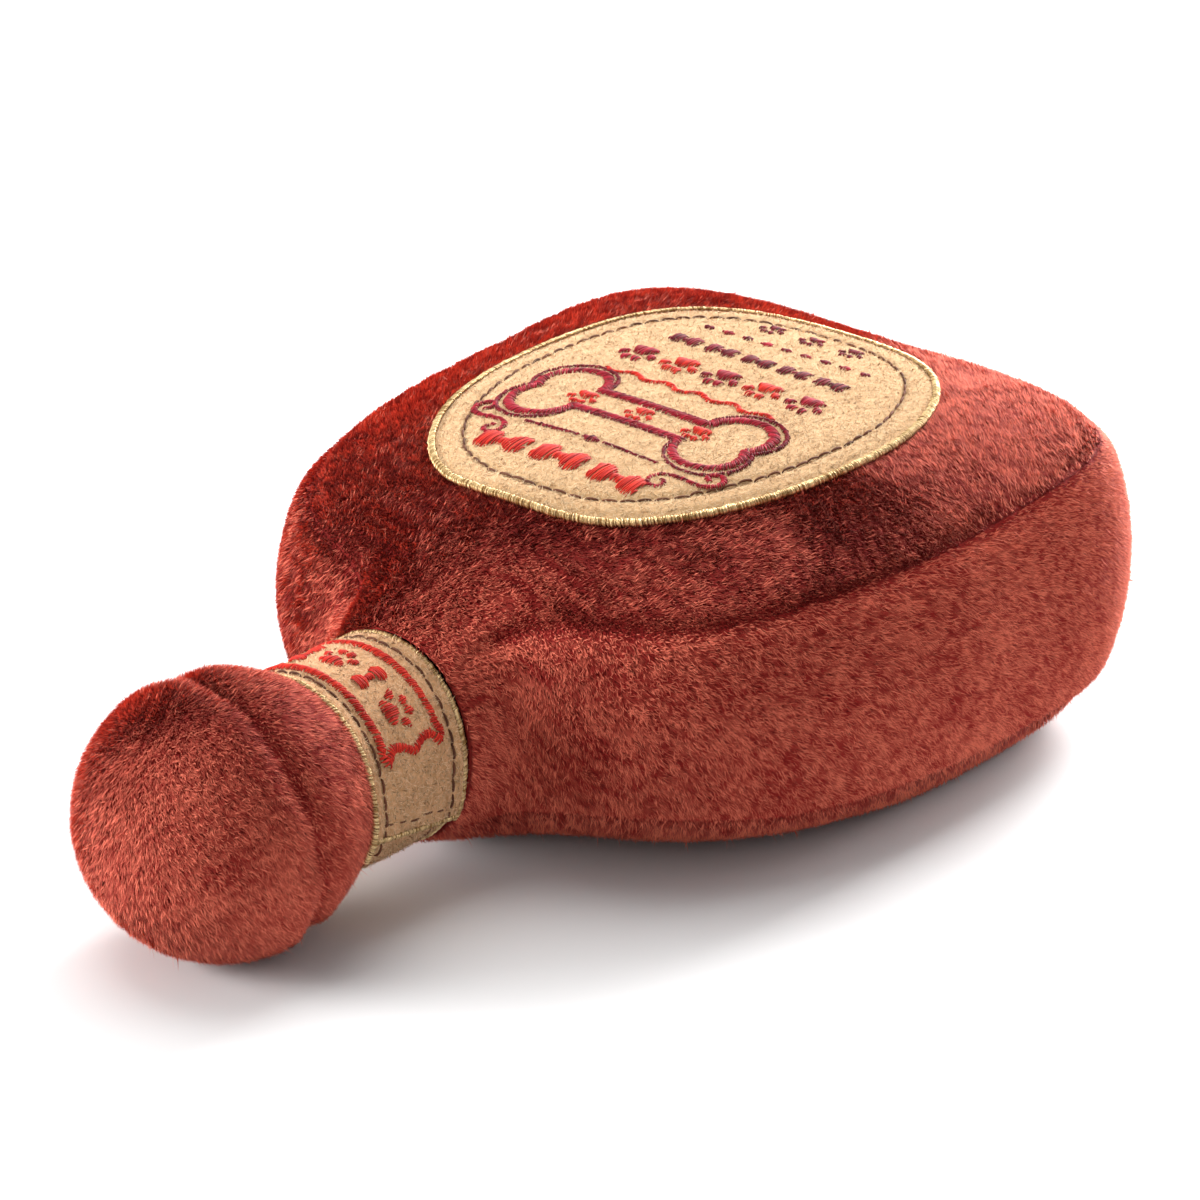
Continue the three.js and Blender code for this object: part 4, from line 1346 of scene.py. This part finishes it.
def lap_angle(x):
    """Where the lapped end lies round the neck, a little askew."""
    return lap_turn + lap_slant * (x - lap_corner)


def band_reach(angle, x):
    """The radius of the felt's outer face: raised at the lapped end, tucked in under it."""
    share = (lap_angle(x) - angle) / (2 * math.pi)
    raised = lap_rise * (1 - smooth(share / 0.09))
    tucked = lap_tuck * smooth((share - 0.93) / 0.05)
    return band_radius + raised - tucked


def on_band(plan, lift):
    """Points over a plan of the band, which is the angle from the top towards the near side and x."""
    angle, x = plan[..., 0], plan[..., 1]
    up = np.stack([0 * angle, -np.sin(angle), np.cos(angle)], -1)
    reach = band_reach(angle, x) + lift
    return np.stack([x, 0 * x, 0 * x + axis_height], -1) + up * reach[..., None], up


share = np.linspace(0, 1, 190)[:, None]
across = np.linspace(0, 1, 30)
felt_tuck = 0.8 * MM
angle = band_start - share * 2 * math.pi * (1 + band_lap) + 0 * across
x = mix(band_low + felt_tuck, band_high(angle) - felt_tuck, across)
angle = angle + (lap_angle(x) - band_start) + felt_tuck / band_radius * (2 * share - 1)
from_edges = np.minimum(x - band_low, band_high(angle) - x)
sink = stitch_sink * np.exp(-(((from_edges - band_stitch_inset) / stitch_sink_width) ** 2))
band_wave = 0.1 * MM * np.sin(5 * angle + x / (3 * MM))
band_rows, _ = on_band(np.stack([angle, x], -1), band_wave - sink)
band_points = band_rows.reshape(-1, 3)
band_quads = grid_quads(len(band_rows), len(across), False)
band_quads, band_normals = faced_outwards(band_points, band_quads, (neck_root - 12 * MM, 0, axis_height))
# The band's felt and its fibres are the label's felt painted redder: painted reflection of the red plush's
# light round the band
band_felt_painted_reflection = cloth_material(
    "band_felt", (0.5, 0.24, 0.09), (0.96, 0.56, 0.29), 1.2 * MM, 0.4 * MM, 0.25 * MM, 0.95, sheen=0.2)
band_fibre_painted_reflection = strand_material(
    "band_felt_fibre_painted_reflection", (0.62, 0.32, 0.13), (0.22, 0.1, 0.04), (1, 0.69, 0.41), 0.4, 0.9, sheen=0.2)
band = new_piece("band", band_points, band_quads.ravel(), np.full(len(band_quads), 4), band_felt_painted_reflection)
soften(band)
give_thickness(band, band_felt)
squeeze_with_toy(band)
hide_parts("neck_band")
raise_fuzz("band_fuzz", band_points, band_quads, band_normals, band_fibre_painted_reflection)

whole_band = 2 * math.pi * band_radius


# Each edge of the band gives the plan at a run along it and an inset from it
def body_side(run, inset):
    angle = lap_turn - run / band_radius
    return np.stack([angle + 0 * inset, band_high(angle) - inset], -1)


def ball_side(run, inset):
    angle = lap_turn - run / band_radius
    return np.stack([angle + 0 * inset, band_low + inset + 0 * run], -1)


def lapped_side(run, inset):
    x = band_low + 1 * MM + run
    return np.stack([lap_angle(x) - inset / band_radius, x + 0 * inset], -1)


bind_edge("band_binding_body", body_side, on_band, whole_band, "neck_band_edge_body")
bind_edge("band_binding_ball", ball_side, on_band, whole_band, "neck_band_edge_ball")
bind_edge("band_binding_lap", lapped_side, on_band, 22 * MM)


def stitched(side, start=0):
    """The line of the stitches inside one edge of the band."""
    return lambda run, sway: side(run + start, band_stitch_inset + sway)


running_stitches("band_stitches_body", stitched(body_side), on_band, whole_band)
running_stitches("band_stitches_ball", stitched(ball_side), on_band, whole_band)
running_stitches("band_stitches_lap", stitched(lapped_side, 1.5 * MM), on_band, 16.5 * MM)

# Band embroidery
# A frame with notched ends in bright red satin stitch, and paws and bones in a row inside it, sewn
# before the strip is wrapped. Measures are millimetres on the felt.
band_middle = neck_root - 12.6 * MM


def on_band_design(plan, lift):
    """A design's place on the band: round it from the top, then towards the body."""
    angle = plan[..., 0] * MM / band_radius
    return on_band(np.stack([angle, band_middle + plan[..., 1] * MM], -1), lift)


frame_end = np.array((
    (19.5, 6.6), (20.6, 7.2), (22.4, 6.4), (20.4, 4.6), (20.8, 2.2), (22.2, 0),
    (20.8, -2.2), (20.4, -4.6), (22.4, -6.4), (20.6, -7.2), (19.5, -6.6),
))
frame_path = np.vstack([frame_end, frame_end[::-1] * (-1, 1), frame_end[:1]])
band_design = [satin_line(frame_path, 1.8)]
for place_round in (-14.5, 0, 14.5):
    band_design += paw((place_round, 0), 7.5)
for place_round in (-7.2, 7.2):
    band_design.append(filled(bone((place_round, 0), 7, 3.4, 90), (place_round, 0), 5, 0))
embroider("band_embroidery", band_design, on_band_design, bright_red)

# Neck lining
# A tube of plain dark cloth under the band. It is sewn to the ball at one end and to the body's
# neck opening at the other, and the band is wrapped over both seams.
tube_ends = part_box("neck_tube")
tube_length = tube_ends[1].x - tube_ends[0].x - 1 * MM
tube_radius = 16.3 * MM
bpy.ops.mesh.primitive_cylinder_add(
    vertices=96, radius=tube_radius, depth=tube_length, end_fill_type="NOTHING",
    location=((tube_ends[0].x + tube_ends[1].x) / 2, 0, axis_height), rotation=(0, math.pi / 2, 0))
neck_lining = bpy.context.object
neck_lining.name = "neck_lining"
bpy.ops.object.transform_apply(location=True, rotation=True, scale=True)
bpy.ops.object.mode_set(mode="EDIT")
bpy.ops.mesh.select_all(action="SELECT")
bpy.ops.mesh.subdivide(number_cuts=3)
bpy.ops.object.mode_set(mode="OBJECT")
give_thickness(neck_lining, 0.8 * MM)
soften(neck_lining)
neck_lining.data.materials.append(cloth_material(
    "lining_cloth", (0.12, 0.03, 0.024), (0.26, 0.075, 0.06), 6 * MM, 0.5 * MM, 0.2 * MM, 0.9))
squeeze_with_toy(neck_lining)
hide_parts("neck_tube")

# Stuffing
# Loose polyester fibre, packed by hand through the openings: two layers in the body with the
# squeaker between them, a plug in the neck and a tight ball in the stopper.
stuffing_fibre = cloth_material(
    "stuffing_fibre", (0.72, 0.7, 0.66), (0.93, 0.92, 0.9), 7 * MM, 0.4 * MM, 0.6 * MM, 1, sheen=0.3)


def copy_of(node, name, material):
    """A piece with a node's own form, its loose triangles joined, in a finish of its own."""
    piece = bpy.data.objects.new(name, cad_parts[node].data.copy())
    bpy.context.scene.collection.objects.link(piece)
    select_only(piece)
    bpy.ops.object.mode_set(mode="EDIT")
    bpy.ops.mesh.select_all(action="SELECT")
    bpy.ops.mesh.remove_doubles(threshold=0.002 * MM)
    bpy.ops.object.mode_set(mode="OBJECT")
    piece.data.materials.clear()
    piece.data.materials.append(material)
    return piece


def stuff(name, node):
    """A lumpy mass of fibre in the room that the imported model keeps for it."""
    stuffing = copy_of(node, name, stuffing_fibre)
    even = stuffing.modifiers.new("even", "REMESH")
    even.mode = "VOXEL"
    even.voxel_size = 2.2 * MM
    soft = stuffing.modifiers.new("soft", "SMOOTH")
    soft.iterations = 5
    apply_modifiers(stuffing)
    mesh = stuffing.data
    place = np.empty(len(mesh.vertices) * 3, np.float32)
    normals = np.empty_like(place)
    mesh.vertices.foreach_get("co", place)
    mesh.vertex_normals.foreach_get("vector", normals)
    place, normals = place.reshape(-1, 3).astype(float), normals.reshape(-1, 3)
    lumps = 0.5 * drift(place, 12 * MM)[:, :1] + 0.25 * drift(place, 4.5 * MM)[:, 1:2]
    place = place - normals * (0.9 - lumps) * MM
    mesh.vertices.foreach_set("co", place.astype(np.float32).ravel())
    soften(stuffing)
    squeeze_with_toy(stuffing)
    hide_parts(node)


stuff("body_stuffing_front", "body_filling_front")
stuff("body_stuffing_back", "body_filling_back")
stuff("neck_stuffing", "neck_filling")
stuff("ball_stuffing", "ball_filling")

# Squeaker
# A blow-moulded bellows in soft milky plastic with a flat disc at each end, and a hard whistle
# pushed into its foot: a tube with a half-round seat, a foil reed and a wedge that holds it.
def moulded_group():
    """Gives moulded plastic faint cloudy marks, in its colour and its gloss."""
    tree, given, result = start_group(
        "moulded_finish",
        {"Dark": "Color", "Light": "Color", "Mark Scale": "Float"},
        {"Color": "Color", "Roughness": "Float", "Height": "Float"})
    nodes, link = tree.nodes, tree.links.new
    place = nodes.new("ShaderNodeTexCoord")
    marks = nodes.new("ShaderNodeTexNoise")
    marks.inputs["Detail"].default_value = 5
    link(place.outputs["Object"], marks.inputs["Vector"])
    link(given.outputs["Mark Scale"], marks.inputs["Scale"])
    colour = mixed_colour(tree, marks.outputs[0], given.outputs["Dark"], given.outputs["Light"])
    gloss = stretched(tree, marks.outputs[0], 0.3, 0.7)
    gloss.inputs["To Min"].default_value = 0.3
    gloss.inputs["To Max"].default_value = 0.5
    link(colour, result.inputs["Color"])
    link(gloss.outputs["Result"], result.inputs["Roughness"])
    link(marks.outputs[0], result.inputs["Height"])
    return tree


moulded_finish = moulded_group()


def moulded_material(name, dark, light, mark_size, bump, metallic=0, subsurface=0):
    """Moulded plastic or foil."""
    material, shader, finish = start_material(
        name, moulded_finish, {"Dark": dark, "Light": light}, {"Mark Scale": 1 / mark_size})
    material.node_tree.links.new(finish.outputs["Roughness"], shader.inputs["Roughness"])
    raise_surface(material, finish, bump)
    shader.inputs["Metallic"].default_value = metallic
    shader.inputs["Subsurface Weight"].default_value = subsurface
    shader.inputs["Subsurface Scale"].default_value = 2 * MM
    return material


milky_plastic = moulded_material(
    "milky_plastic", (0.78, 0.77, 0.72), (0.9, 0.9, 0.86), 4 * MM, 0.08 * MM, subsurface=0.4)
whistle_plastic = moulded_material(
    "whistle_plastic", (0.62, 0.66, 0.7), (0.74, 0.78, 0.82), 2 * MM, 0.03 * MM)
reed_film = moulded_material(
    "reed_film", (0.7, 0.68, 0.6), (0.86, 0.85, 0.78), 1 * MM, 0.02 * MM, metallic=0.6)
finishes = {
    "squeaker_base": milky_plastic,
    "squeaker_top": milky_plastic,
    "whistle_housing": whistle_plastic,
    "reed_seat": whistle_plastic,
    "reed_wedge": whistle_plastic,
    "reed": reed_film,
}
for node, material in finishes.items():
    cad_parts[node].material_slots[0].material = material

# The bellows' wall has a mesh of its own; in the real toy its folds close as the disc above comes down
bellows = copy_of("squeaker_bellows", "bellows_wall", milky_plastic)
fold_rounding = bellows.modifiers.new("fold_rounding", "BEVEL")
fold_rounding.width = 0.25 * MM
fold_rounding.segments = 2
fold_rounding.angle_limit = math.radians(30)
apply_modifiers(bellows)
bpy.ops.object.shade_smooth_by_angle(angle=math.radians(35))
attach(bellows, "toy")
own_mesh(bellows)
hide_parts("squeaker_bellows")

# Floor and light
# A white sweep under the toy. One broad soft lamp stands to the right and one to the left behind
# it, a small one low beside the base, a weak one hangs over it, and a pale surround fills in.
bpy.ops.mesh.primitive_plane_add(size=6, location=(0, 0, -0.02 * MM))
floor = bpy.context.object
floor.name = "floor"
paper = bpy.data.materials.new("paper")
paper.use_nodes = True
nodes, link = paper.node_tree.nodes, paper.node_tree.links.new
seen = nodes.new("ShaderNodeLightPath")
mirrored = nodes.new("ShaderNodeMath")
mirrored.operation = "MAXIMUM"
through = nodes.new("ShaderNodeMath")
through.operation = "MAXIMUM"
link(seen.outputs["Is Camera Ray"], mirrored.inputs[0])
link(seen.outputs["Is Glossy Ray"], mirrored.inputs[1])
link(mirrored.outputs[0], through.inputs[0])
link(seen.outputs["Is Transmission Ray"], through.inputs[1])
white = nodes.new("ShaderNodeMix")
white.data_type = "RGBA"
white.inputs["A"].default_value = (0.7, 0.7, 0.7, 1)
white.inputs["B"].default_value = (1, 1, 1, 1)
link(through.outputs[0], white.inputs["Factor"])
link(white.outputs["Result"], nodes["Principled BSDF"].inputs["Base Color"])
nodes["Principled BSDF"].inputs["Roughness"].default_value = 0.9
nodes["Principled BSDF"].inputs["Specular IOR Level"].default_value = 0
floor.data.materials.append(paper)


def soft_lamp(name, size, power, place, aim):
    """A rectangular lamp, whose size is in metres and its power in watts."""
    bpy.ops.object.light_add(type="AREA", location=place)
    lamp = bpy.context.object
    lamp.name = name
    lamp.data.shape = "RECTANGLE"
    lamp.data.size, lamp.data.size_y = size
    lamp.data.energy = power
    lamp.visible_camera = False
    lamp.rotation_euler = (Vector(place) - Vector(aim)).to_track_quat("Z", "Y").to_euler()


toy_middle = (0, 0, 0.03)
soft_lamp("right_lamp", (0.5, 0.6), 21, (0.95, 0.12, 0.55), toy_middle)
soft_lamp("left_lamp", (0.6, 0.5), 18, (-0.85, 0.75, 0.3), toy_middle)
soft_lamp("base_lamp", (0.16, 0.12), 1.1, (0.45, -0.1, 0.09), (0.09, -0.03, 0.03))
soft_lamp("top_lamp", (1, 1), 8, (0.1, 0.3, 1.2), toy_middle)
world = bpy.data.worlds.new("surround")
bpy.context.scene.world = world
world.use_nodes = True
world.node_tree.nodes["Background"].inputs["Color"].default_value = (1, 1, 1, 1)
world.node_tree.nodes["Background"].inputs["Strength"].default_value = 0.35
bpy.context.scene.view_settings.view_transform = "Standard"
